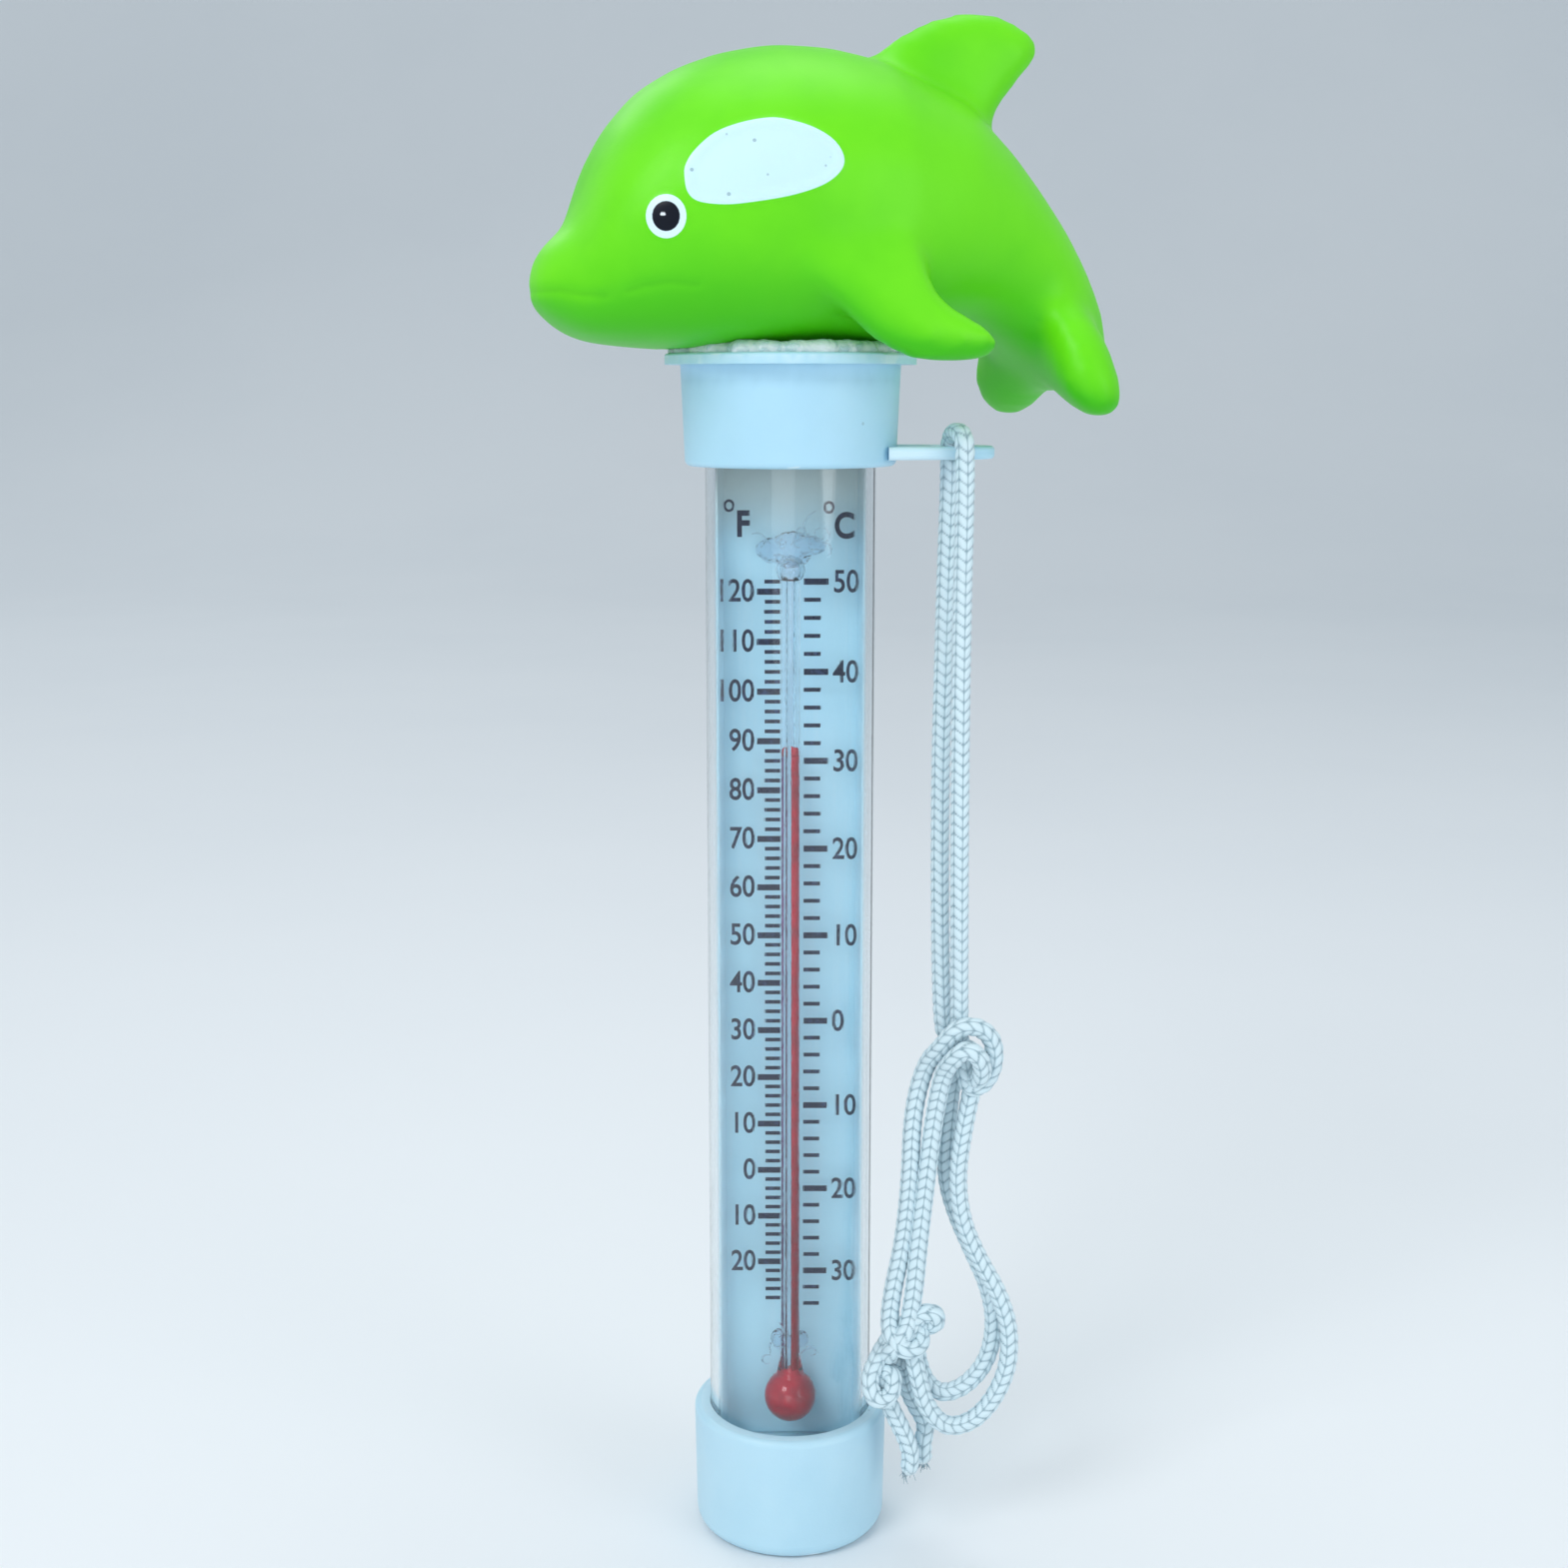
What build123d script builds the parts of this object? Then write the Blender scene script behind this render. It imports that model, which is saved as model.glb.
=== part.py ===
# Floating pool thermometer with a dolphin float and a knotted lanyard.
# Millimetres, +Z up. The origin is the centre of the bottom cap's flat base,
# the scale faces -Y and the lanyard lug points to +X.
from build123d import *
from math import cos, pi, radians, sin, tan
import os

os.makedirs("parts", exist_ok=True)

# Tube
tube_od = 20.0
tube_wall = 1.0
tube_length = 138.5

# Bottom cap
cap_height = 15.5
cap_wall = 1.9
cap_floor = 2.0
cap_taper = 0.3
cap_rim_round = 0.8
cap_base_round = 1.8

# Top cap: collar, flange and lug
collar_height = 11.6
collar_wall = 2.25
collar_taper = 0.5
collar_depth = 9.5
flange_lip = 1.8
flange_thickness = 1.25
lug_length = 6.8
lug_width = 9.4
lug_flare = 14.0
lug_thickness = 1.5
lug_hole_d = 5.6
lug_lift = 0.8

# Seals, glue and the clearances between the pieces
seal_thickness = 0.4
glue_gap = 0.05
bore_gap = 0.02
skin_gap = 0.1

# Scale card and its markings' reach, in millimetres and degrees Celsius
card_thickness = 0.3
card_front_y = 2.6
card_lip_reach = 3.4
card_bottom_gap = 0.1
card_top_gap = 0.9
degree_pitch = 1.07
top_degree = 50.0
top_degree_gap = 1.42
shown_degree = 31.7

# Glass thermometer
stem_od = 2.3
stem_bore = 0.8
stem_y = -0.7
bulb_od = 6.4
bulb_wall = 0.5
bulb_lift = 3.65
neck_height = 4.2
chamber_od = 3.4
chamber_wall = 0.5
stem_length = 103.35
spirit_top_length = 1.2
bottom_glue_size = (5.0, 3.4)
top_glue_size = (8.8, 4.2)
top_glue_lift = 3.0
glue_front = 1.9
glue_round = 0.6

# Ballast
ballast_gap = 0.3
ballast_height = 6.0
potting_thickness = 1.5

# Float and its plug
float_yaw = 18.0
float_wall = 1.6
belly_glue_thickness = 0.5
belly_glue_inset = 1.6
plug_d = 8.8
plug_head_d = 12.0
plug_head_thickness = 1.4
plug_barb_d = 10.4
plug_barb_height = 3.0
plug_barb_gap = 0.3
plug_barb_taper = 24.0

# Lanyard
cord_d = 2.3
upper_knot_width = 8.4
upper_knot_height = 10.2
lower_knot_width = 5.4
lower_knot_height = 8.4
tuck_width = 3.0
tuck_height = 5.2

# Levels that follow from the sizes above
tube_id = tube_od - 2 * tube_wall
ballast_d = tube_id - 2 * ballast_gap
tube_bottom = cap_floor + seal_thickness
tube_top = tube_bottom + tube_length
ledge_z = tube_top + seal_thickness
collar_bottom = ledge_z - collar_depth
collar_top = collar_bottom + collar_height
flange_top = collar_top + flange_thickness
belly_z = flange_top + belly_glue_thickness
cap_od = tube_od + 2 * cap_wall + 2 * glue_gap
collar_bottom_d = tube_od + 2 * collar_wall + 2 * glue_gap
collar_top_d = collar_bottom_d + 2 * collar_taper
flange_od = collar_top_d + 2 * flange_lip
belly_glue_od = flange_od - 2 * belly_glue_inset
lug_reach = collar_bottom_d / 2 + lug_length
ballast_top = cap_floor + ballast_height
potting_top = ballast_top + potting_thickness
plug_head_z = ledge_z - plug_head_thickness
bulb_z = potting_top + bulb_lift + bulb_od / 2
chamber_z = bulb_z + stem_length
neck_top = bulb_z + (bulb_od + neck_height) / 2
top_degree_z = chamber_z - top_degree_gap
lug_z = collar_bottom + lug_lift
lug_mid_z = lug_z + lug_thickness / 2
web_y = -(lug_width + lug_hole_d) / 4
level_z = top_degree_z - (top_degree - shown_degree) * degree_pitch
column_bottom = bulb_z + bulb_od / 2 - bulb_wall
column_top = level_z - spirit_top_length


def save(part, name):
    part.label = name
    export_step(part, f"parts/{name}.step")


# ---------------------------------------------------------------- bottom end


def make_bottom_cap():
    with BuildPart() as bottom_cap:
        with BuildSketch() as base:
            Circle(cap_od / 2 - cap_taper)
        with BuildSketch(Plane.XY.offset(cap_height)) as rim:
            Circle(cap_od / 2)
        loft()
        with BuildSketch(Plane.XY.offset(cap_floor)):
            Circle(tube_od / 2 + glue_gap)
        extrude(amount=cap_height, mode=Mode.SUBTRACT)
        rim_edges = bottom_cap.edges().filter_by(GeomType.CIRCLE).group_by(Axis.Z)[-1]
        fillet(rim_edges.sort_by(SortBy.RADIUS)[-1], cap_rim_round)
        fillet(bottom_cap.edges().group_by(Axis.Z)[0], cap_base_round)
    save(bottom_cap.part, "bottom_cap")


def make_ring(name, z, height, outer_d, inner_d):
    with BuildPart() as ring:
        with BuildSketch(Plane.XY.offset(z)):
            Circle(outer_d / 2)
            Circle(inner_d / 2, mode=Mode.SUBTRACT)
        extrude(amount=height)
    save(ring.part, name)


def make_ballast_weight():
    with BuildPart() as ballast_weight:
        with BuildSketch(Plane.XY.offset(cap_floor)):
            Circle(ballast_d / 2)
        extrude(amount=ballast_height)
        chamfer(ballast_weight.edges().filter_by(GeomType.CIRCLE), 0.4)
    save(ballast_weight.part, "ballast_weight")


def make_ballast_glue():
    with BuildPart() as ballast_glue:
        with BuildSketch(Plane.XY.offset(ballast_top)):
            Circle(tube_id / 2 - glue_gap)
        extrude(amount=potting_thickness)
    save(ballast_glue.part, "ballast_glue")


# ---------------------------------------------------- tube and what it holds


def make_clear_tube():
    with BuildPart() as clear_tube:
        with BuildSketch(Plane.XY.offset(tube_bottom)):
            Circle(tube_od / 2)
            Circle(tube_id / 2, mode=Mode.SUBTRACT)
        extrude(amount=tube_length)
    save(clear_tube.part, "clear_tube")


def make_scale_card():
    """A flat face between two lips that spring against the bore."""
    outer = tube_id / 2 - skin_gap
    back_y = card_front_y + card_thickness
    half_width = (outer**2 - back_y**2) ** 0.5
    bottom = potting_top + card_bottom_gap
    height = plug_head_z - card_top_gap - bottom
    with BuildPart() as scale_card:
        with BuildSketch(Plane.XY.offset(bottom)):
            Circle(outer)
            Circle(outer - card_thickness, mode=Mode.SUBTRACT)
            with Locations((0, back_y - card_lip_reach / 2)):
                Rectangle(2 * outer, card_lip_reach, mode=Mode.INTERSECT)
            with Locations((0, card_front_y + card_thickness / 2)):
                Rectangle(2 * half_width, card_thickness)
        extrude(amount=height)
    save(scale_card.part, "scale_card")


def make_glass_stem():
    stem_bottom = bulb_z
    with BuildPart() as glass_stem:
        with Locations((0, stem_y, bulb_z)):
            Sphere(bulb_od / 2)
        with Locations((0, stem_y, neck_top - neck_height / 2)):
            Cone(bulb_od / 3, stem_od / 2, neck_height)
        with BuildSketch(Plane.XY.offset(stem_bottom)):
            with Locations((0, stem_y)):
                Circle(stem_od / 2)
        extrude(amount=chamber_z - stem_bottom)
        with Locations((0, stem_y, chamber_z)):
            Sphere(chamber_od / 2)
            Sphere(chamber_od / 2 - chamber_wall, mode=Mode.SUBTRACT)
        with Locations((0, stem_y, bulb_z)):
            Sphere(bulb_od / 2 - bulb_wall, mode=Mode.SUBTRACT)
        with BuildSketch(Plane.XY.offset(stem_bottom)):
            with Locations((0, stem_y)):
                Circle(stem_bore / 2)
        extrude(amount=chamber_z - stem_bottom, mode=Mode.SUBTRACT)
    save(glass_stem.part, "glass_stem")


def make_bulb_spirit():
    with BuildPart() as bulb_spirit:
        with Locations((0, stem_y, bulb_z)):
            Sphere(bulb_od / 2 - bulb_wall - glue_gap)
    save(bulb_spirit.part, "bulb_spirit")


def make_spirit(name, bottom, top, domed):
    radius = stem_bore / 2 - bore_gap
    with BuildPart() as spirit:
        with BuildSketch(Plane.XY.offset(bottom)):
            with Locations((0, stem_y)):
                Circle(radius)
        extrude(amount=top - bottom)
        if domed:
            fillet(spirit.edges().group_by(Axis.Z)[-1], radius / 2)
    save(spirit.part, name)


def make_glue_dab(name, z, size):
    """A dab that bridges the stem and the card."""
    width, height = size
    front_y = stem_y - glue_front
    depth = card_front_y - bore_gap - front_y
    with BuildPart() as dab:
        with Locations((0, front_y + depth / 2, z)):
            Box(width, depth, height)
        fillet(dab.edges().filter_by(Axis.Y), height / 2.5)
        fillet(dab.faces().sort_by(Axis.Y)[0].edges(), glue_round)
        with Locations((0, stem_y, z)):
            Cylinder(stem_od / 2 + bore_gap, height, mode=Mode.SUBTRACT)
        with Locations((0, stem_y, chamber_z)):
            Sphere(chamber_od / 2 + bore_gap, mode=Mode.SUBTRACT)
    save(dab.part, name)


# ------------------------------------------------------------------- top cap


def lug_outline(root_x):
    """The lug's straight sides widen from its round end to its root."""
    flare = radians(lug_flare)
    end_x = lug_reach + lug_width / 2 * sin(flare)
    end_y = lug_width / 2 * cos(flare)
    root_y = end_y + (end_x - root_x) * tan(flare)
    return [(root_x, -root_y), (end_x, -end_y), (end_x, end_y), (root_x, root_y)]


def make_top_cap():
    lug_root = collar_bottom_d / 2 - collar_wall / 2
    with BuildPart() as top_cap:
        with BuildSketch(Plane.XY.offset(collar_bottom)):
            Circle(collar_bottom_d / 2)
        with BuildSketch(Plane.XY.offset(collar_top)):
            Circle(collar_top_d / 2)
        loft()
        fillet(top_cap.edges().group_by(Axis.Z)[0], 0.7)
        with BuildSketch(Plane.XY.offset(collar_top)):
            Circle(flange_od / 2)
        extrude(amount=flange_thickness)
        flange_edges = top_cap.edges().filter_by(GeomType.CIRCLE).group_by(Axis.Z)[-1]
        fillet(flange_edges, 0.3)
        with BuildSketch(Plane.XY.offset(lug_z)):
            with BuildLine():
                Polyline(*lug_outline(lug_root), close=True)
            make_face()
            with Locations((lug_reach, 0)):
                Circle(lug_width / 2)
        extrude(amount=lug_thickness)
        lug_edges = top_cap.edges().filter_by_position(
            Axis.X, lug_reach, lug_reach + lug_width
        )
        fillet(lug_edges, 0.5)
        with BuildSketch(Plane.XY.offset(lug_z)):
            with Locations((lug_reach, 0)):
                Circle(lug_hole_d / 2)
        extrude(amount=lug_thickness, mode=Mode.SUBTRACT)
        with BuildSketch(Plane.XY.offset(collar_bottom)):
            Circle(tube_od / 2 + glue_gap)
        extrude(amount=collar_depth, mode=Mode.SUBTRACT)
        with BuildSketch(Plane.XY.offset(ledge_z)):
            Circle(plug_d / 2 + glue_gap)
        extrude(amount=flange_top - ledge_z, mode=Mode.SUBTRACT)
    save(top_cap.part, "top_cap")


# --------------------------------------------------------------------- float
# The float's own frame: along runs from nose to tail, side is to its left
# (the side the scale faces), and height is above the flange of the top cap.

# along, height of the spine, lean of the section, half width, half height
body_sections = [
    (-30.0, 7.6, 0, 2.6, 2.6),
    (-28.4, 7.9, 0, 5.0, 4.6),
    (-25.2, 8.4, 0, 8.2, 7.2),
    (-21.5, 12.4, 0, 12.4, 11.8),
    (-14.5, 15.5, 0, 16.4, 15.4),
    (-4.5, 17.0, 0, 18.2, 17.2),
    (6.0, 16.9, 0, 18.0, 17.0),
    (16.0, 15.3, 16, 15.2, 14.8),
    (24.5, 12.3, 36, 11.2, 10.6),
    (30.5, 8.2, 52, 8.4, 7.6),
    (34.2, 2.8, 66, 6.6, 5.4),
    (35.6, -2.0, 76, 5.2, 3.6),
]
blade_round = 0.2
fin_outline = [(8.0, 31.8), (16.0, 37.5), (22.5, 39.0), (28.0, 37.3), (29.8, 34.6), (24.0, 26.8)]
fin_thickness = 6.4
flipper_outline = [(-1.0, 6.5), (9.0, 8.0), (15.0, 1.5), (17.4, -4.2), (8.0, -4.4)]
flipper_thickness = 4.6
flipper_side = 17.5
flipper_height = 5.4
flipper_lean = 25.0
fluke_outline = [(0.5, 5.0), (8.0, 4.6), (14.2, -0.4), (14.0, -4.8), (7.0, -4.6), (1.0, -2.0)]
fluke_thickness = 5.2
fluke_along = 34.6
fluke_height = -1.7
fluke_lean = 10.0


def float_point(along, side, height):
    yaw = radians(float_yaw)
    x = along * cos(yaw) + side * sin(yaw)
    y = along * sin(yaw) - side * cos(yaw)
    return Vector(x, y, flange_top + height)


def float_direction(along, side, height):
    return float_point(along, side, height) - float_point(0, 0, 0)


def section_plane(along, height, lean):
    lean = radians(lean)
    return Plane(
        origin=float_point(along, 0, height),
        x_dir=float_direction(0, -1, 0),
        z_dir=float_direction(cos(lean), 0, -sin(lean)),
    )


def section_points(half_width, half_height):
    """A round top and a flatter belly, as a ring of points."""
    points = []
    for step in range(12):
        angle = 2 * pi * step / 12 + pi / 2
        across, up = cos(angle), sin(angle)
        power = 1.0 if up >= 0 else 0.72
        across = half_width * (1 if across >= 0 else -1) * abs(across) ** power
        up = half_height * (1 if up >= 0 else -1) * abs(up) ** power
        points.append((across, up))
    return points


def body_rings(sections, inset):
    rings = []
    for along, height, lean, half_width, half_height in sections:
        with BuildSketch(section_plane(along, height, lean)) as ring:
            with BuildLine():
                Spline(section_points(half_width - inset, half_height - inset), periodic=True)
            make_face()
        rings.append(ring.sketch)
    return rings


def blade(outline, plane, thickness):
    with BuildPart(mode=Mode.PRIVATE) as blade_part:
        with BuildSketch(plane):
            with BuildLine():
                Spline(outline, periodic=True)
            make_face()
        extrude(amount=thickness / 2, both=True)
        fillet(blade_part.edges(), blade_round * thickness)
    return blade_part.part


def fin_blade():
    plane = Plane(
        origin=float_point(0, 0, 0),
        x_dir=float_direction(1, 0, 0),
        z_dir=float_direction(0, 1, 0),
    )
    return blade(fin_outline, plane, fin_thickness)


def flipper_blade():
    lean = radians(flipper_lean)
    plane = Plane(
        origin=float_point(0, flipper_side, flipper_height),
        x_dir=float_direction(1, 0, 0),
        z_dir=float_direction(0, cos(lean), sin(lean)),
    )
    return blade(flipper_outline, plane, flipper_thickness)


def fluke_blade():
    lean = radians(fluke_lean)
    plane = Plane(
        origin=float_point(fluke_along, 0, fluke_height),
        x_dir=float_direction(0, 1, 0),
        z_dir=float_direction(-cos(lean), 0, -sin(lean)),
    )
    return blade(fluke_outline, plane, fluke_thickness)


def make_float_shell():
    middle = Plane(origin=(0, 0, 0), z_dir=float_direction(0, 1, 0))
    flipper = flipper_blade()
    fluke = fluke_blade()
    outside = body_rings(body_sections, 0)
    inside = body_rings(body_sections[1:-2], float_wall)
    with BuildPart() as float_shell:
        loft(outside)
        add(fin_blade())
        add([flipper, mirror(flipper, about=middle)])
        add([fluke, mirror(fluke, about=middle)])
        loft(inside, mode=Mode.SUBTRACT)
        with BuildSketch(Plane.XY.offset(belly_z)):
            Circle(flange_od / 2 + 1.0)
        extrude(amount=-belly_glue_od, mode=Mode.SUBTRACT)
        with BuildSketch(Plane.XY.offset(belly_z)):
            Circle(plug_d / 2 + glue_gap)
        extrude(amount=2 * float_wall, mode=Mode.SUBTRACT)
    save(float_shell.part, "float_shell")


def make_float_plug():
    spine_height, half_height = body_sections[5][1], body_sections[5][4]
    barb_z = flange_top + spine_height - half_height + float_wall + plug_barb_gap
    with BuildPart() as float_plug:
        with BuildSketch(Plane.XY.offset(plug_head_z)):
            Circle(plug_head_d / 2)
        extrude(amount=plug_head_thickness)
        with BuildSketch(Plane.XY.offset(ledge_z)):
            Circle(plug_d / 2)
        extrude(amount=barb_z - ledge_z)
        with BuildSketch(Plane.XY.offset(barb_z)):
            Circle(plug_barb_d / 2)
        extrude(amount=plug_barb_height, taper=plug_barb_taper)
        fillet(float_plug.edges().group_by(Axis.Z)[0], 0.3)
    save(float_plug.part, "float_plug")


# ------------------------------------------------------------------- lanyard
# Each stretch of the cord is straight runs joined by tangent arcs.

cord_routes = {
    "cord_bight": [
        (19.9, -6.35, 129.5),
        (19.75, -6.35, 135.8),
        (18.55, -1.15, 135.8),
        (18.5, -1.2, 129.5),
    ],
    "cord_front": [
        (19.9, -6.35, 129.5),
        (19.75, -6.1, 114.0),
        (19.85, -5.5, 91.0),
        (20.2, -4.9, 65.5),
    ],
    "cord_rear": [
        (18.5, -1.2, 129.5),
        (18.1, -1.7, 115.5),
        (17.7, -2.4, 92.0),
        (18.1, -3.3, 65.5),
    ],
    "cord_left_outer": [
        (16.2, -4.3, 60.5),
        (14.3, -4.7, 54.5),
        (13.9, -5.2, 46.0),
        (13.3, -5.7, 38.2),
        (12.6, -6.2, 33.4),
        (12.0, -6.4, 29.0),
    ],
    "cord_left_inner": [
        (18.8, -4.9, 60.5),
        (17.4, -5.3, 53.5),
        (16.5, -5.8, 45.4),
        (15.7, -6.4, 38.2),
        (15.1, -6.9, 33.4),
        (14.5, -6.9, 29.0),
    ],
    "cord_loop_outer": [
        (22.2, -4.4, 59.0),
        (21.0, -4.3, 52.5),
        (20.2, -4.5, 46.5),
        (20.8, -4.9, 41.0),
        (23.0, -5.3, 36.0),
        (25.4, -5.7, 32.0),
        (26.9, -6.2, 27.0),
        (26.4, -6.8, 21.5),
        (23.2, -7.2, 16.4),
        (19.2, -7.7, 15.2),
        (16.6, -8.0, 18.0),
        (15.4, -8.0, 22.5),
    ],
    "cord_loop_inner": [
        (19.8, -2.4, 59.0),
        (19.1, -2.1, 51.5),
        (19.0, -1.9, 45.5),
        (20.2, -2.2, 41.0),
        (22.4, -2.7, 36.0),
        (24.3, -3.3, 32.0),
        (25.2, -4.0, 27.6),
        (24.4, -4.8, 23.0),
        (21.8, -5.4, 19.8),
        (18.6, -5.6, 18.6),
        (16.4, -5.5, 20.5),
        (15.4, -5.4, 24.2),
    ],
    "tail_left": [
        (11.5, -8.0, 21.4),
        (12.7, -7.9, 17.8),
        (14.2, -8.2, 14.2),
        (14.9, -8.1, 11.6),
        (14.4, -8.0, 9.6),
    ],
    "tail_right": [
        (13.7, -4.9, 24.0),
        (13.8, -3.9, 20.5),
        (15.2, -3.6, 16.8),
        (17.0, -4.4, 14.2),
        (16.2, -5.4, 11.8),
        (16.5, -5.4, 9.6),
    ],
}
knots = {
    "upper_knot": ((20.9, -4.2, 62.0), upper_knot_width, upper_knot_height),
    "lower_knot": ((13.9, -6.6, 26.2), lower_knot_width, lower_knot_height),
    "lower_knot_tuck": ((11.0, -8.2, 21.6), tuck_width, tuck_height),
}


def corner_radii(points):
    """Arcs as large as the two runs at each corner allow."""
    corners = [Vector(*point) for point in points]
    radii = []
    for before, corner, after in zip(corners, corners[1:], corners[2:]):
        turn = radians((corner - before).get_angle(after - corner))
        shorter = min((corner - before).length, (after - corner).length)
        radii.append(0.45 * shorter / tan(turn / 2))
    return radii


def make_cord(name, points):
    radii = corner_radii(points)
    with BuildPart() as cord:
        with BuildLine():
            route = FilletPolyline(*points, radius=radii)
        with BuildSketch(Plane(origin=route @ 0, z_dir=route % 0)):
            Circle(cord_d / 2)
        sweep(path=route)
    tube_volume = pi * cord_d**2 / 4 * route.length
    print(name, "radii", [round(radius, 1) for radius in radii])
    print(name, "length", round(route.length, 1), "volume share", round(cord.part.volume / tube_volume, 4))
    save(cord.part, name)


def make_knot(name, centre, width, height):
    with BuildPart() as knot:
        with BuildSketch(Plane(origin=centre, x_dir=(1, 0, 0), z_dir=(0, -1, 0))):
            Ellipse(width / 2, height / 2)
            with Locations((-width / 2, 0)):
                Rectangle(width, 2 * height, mode=Mode.SUBTRACT)
        revolve(axis=Axis(centre, (0, 0, 1)))
    save(knot.part, name)


make_bottom_cap()
make_ring("bottom_seal", cap_floor, seal_thickness, tube_od, ballast_d + 2 * skin_gap)
make_ballast_weight()
make_ballast_glue()
make_clear_tube()
make_scale_card()
make_glass_stem()
make_bulb_spirit()
make_spirit("spirit_column", column_bottom, column_top, False)
make_spirit("spirit_top", column_top, level_z, True)
make_glue_dab("bottom_glue", neck_top + bore_gap + bottom_glue_size[1] / 2, bottom_glue_size)
make_glue_dab("top_glue", chamber_z + top_glue_lift, top_glue_size)
make_ring("top_seal", tube_top, seal_thickness, tube_od, tube_id)
make_top_cap()
make_ring("belly_glue", flange_top, belly_glue_thickness, belly_glue_od, plug_d + 2 * glue_gap)
make_float_shell()
make_float_plug()
for cord_name, cord_points in cord_routes.items():
    make_cord(cord_name, cord_points)
for knot_name, (knot_centre, knot_width, knot_height) in knots.items():
    make_knot(knot_name, knot_centre, knot_width, knot_height)
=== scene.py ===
import math
import random

import bmesh
import bpy
import numpy as np
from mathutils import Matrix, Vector, noise


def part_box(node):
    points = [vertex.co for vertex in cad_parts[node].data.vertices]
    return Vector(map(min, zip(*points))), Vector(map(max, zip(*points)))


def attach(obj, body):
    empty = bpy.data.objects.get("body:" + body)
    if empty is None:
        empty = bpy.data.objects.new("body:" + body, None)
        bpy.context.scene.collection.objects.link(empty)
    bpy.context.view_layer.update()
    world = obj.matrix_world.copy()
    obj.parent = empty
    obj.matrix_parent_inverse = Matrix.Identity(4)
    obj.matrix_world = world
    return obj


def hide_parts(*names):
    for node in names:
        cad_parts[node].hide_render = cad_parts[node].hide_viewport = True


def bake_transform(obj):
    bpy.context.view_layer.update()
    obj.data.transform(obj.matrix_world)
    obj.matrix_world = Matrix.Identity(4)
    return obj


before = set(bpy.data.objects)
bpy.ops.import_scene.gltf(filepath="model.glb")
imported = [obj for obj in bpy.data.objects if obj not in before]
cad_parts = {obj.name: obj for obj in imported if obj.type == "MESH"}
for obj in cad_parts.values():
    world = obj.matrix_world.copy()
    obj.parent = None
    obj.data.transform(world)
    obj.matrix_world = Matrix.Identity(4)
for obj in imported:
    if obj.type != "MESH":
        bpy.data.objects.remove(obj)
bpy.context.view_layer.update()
scene = bpy.context.scene
print("frame loaded")


def paint(red, green, blue):
    # A screen colour, 0 to 255, as the linear one that shaders take
    linear = []
    for share in (red / 255, green / 255, blue / 255):
        linear.append(share / 12.92 if share <= 0.04045 else ((share + 0.055) / 1.055) ** 2.4)
    return (*linear, 1.0)


def addNode(tree, kind, settings=None, inputs=None):
    made = tree.nodes.new(kind)
    for key, value in (settings or {}).items():
        setattr(made, key, value)
    for key, value in (inputs or {}).items():
        if isinstance(value, bpy.types.NodeSocket):
            tree.links.new(value, made.inputs[key])
        else:
            made.inputs[key].default_value = value
    return made


def sums(tree, operation, first, second=0.0, third=None):
    inputs = {0: first, 1: second}
    if third is not None:
        inputs[2] = third
    return addNode(tree, "ShaderNodeMath", {"operation": operation}, inputs).outputs[0]


def blendColours(tree, factor, first, second):
    made = addNode(tree, "ShaderNodeMix", {"data_type": "RGBA"}, {0: factor, 6: first, 7: second})
    return made.outputs[2]


def spread(tree, value, low, high, toLow=0.0, toHigh=1.0):
    made = addNode(tree, "ShaderNodeMapRange", {"interpolation_type": "SMOOTHSTEP"},
                   {0: value, 1: low, 2: high, 3: toLow, 4: toHigh})
    return made.outputs[0]


def startGroup(name, sockets, results):
    group = bpy.data.node_groups.new(name, "ShaderNodeTree")
    for label, kind, value in sockets:
        made = group.interface.new_socket(name=label, in_out="INPUT", socket_type="NodeSocket" + kind)
        made.default_value = value
    for label, kind in results:
        group.interface.new_socket(name=label, in_out="OUTPUT", socket_type="NodeSocket" + kind)
    return group, group.nodes.new("NodeGroupInput"), group.nodes.new("NodeGroupOutput")


def placeGroup(tree, group, inputs):
    return addNode(tree, "ShaderNodeGroup", {"node_tree": group}, inputs)


def objectPlace(tree):
    return addNode(tree, "ShaderNodeTexCoord").outputs["Object"]


def upPart(tree, vector):
    return addNode(tree, "ShaderNodeSeparateXYZ", None, {0: vector}).outputs[2]


def keptValue(tree, name):
    return addNode(tree, "ShaderNodeAttribute", {"attribute_name": name}).outputs["Fac"]


def noiseField(tree, place, scale, detail, more=None):
    inputs = {"Vector": place, "Scale": scale, "Detail": detail, **(more or {})}
    return addNode(tree, "ShaderNodeTexNoise", None, inputs).outputs[0]


def bumpFrom(tree, height, strength, distance, more=None):
    inputs = {"Strength": strength, "Distance": distance, "Height": height, **(more or {})}
    return addNode(tree, "ShaderNodeBump", None, inputs).outputs[0]


def speckle(tree, place, scale, near, far, amount):
    # Small round marks, one or none to a cell
    apart = addNode(tree, "ShaderNodeTexVoronoi", None, {"Vector": place, "Scale": scale}).outputs["Distance"]
    return sums(tree, "MULTIPLY", spread(tree, apart, near, far, 1.0, 0.0), amount)


def wireSurface(tree, shader, colour, rough, normal=None):
    tree.links.new(colour, shader.inputs["Base Color"])
    tree.links.new(rough, shader.inputs["Roughness"])
    if normal is not None:
        tree.links.new(normal, shader.inputs["Normal"])


def startMaterial(name, shaderInputs):
    material = bpy.data.materials.new(name)
    material.use_nodes = True
    tree = material.node_tree
    tree.nodes.clear()
    shader = addNode(tree, "ShaderNodeBsdfPrincipled", None, shaderInputs)
    output = addNode(tree, "ShaderNodeOutputMaterial")
    tree.links.new(shader.outputs[0], output.inputs["Surface"])
    return material, tree, shader, output


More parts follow.
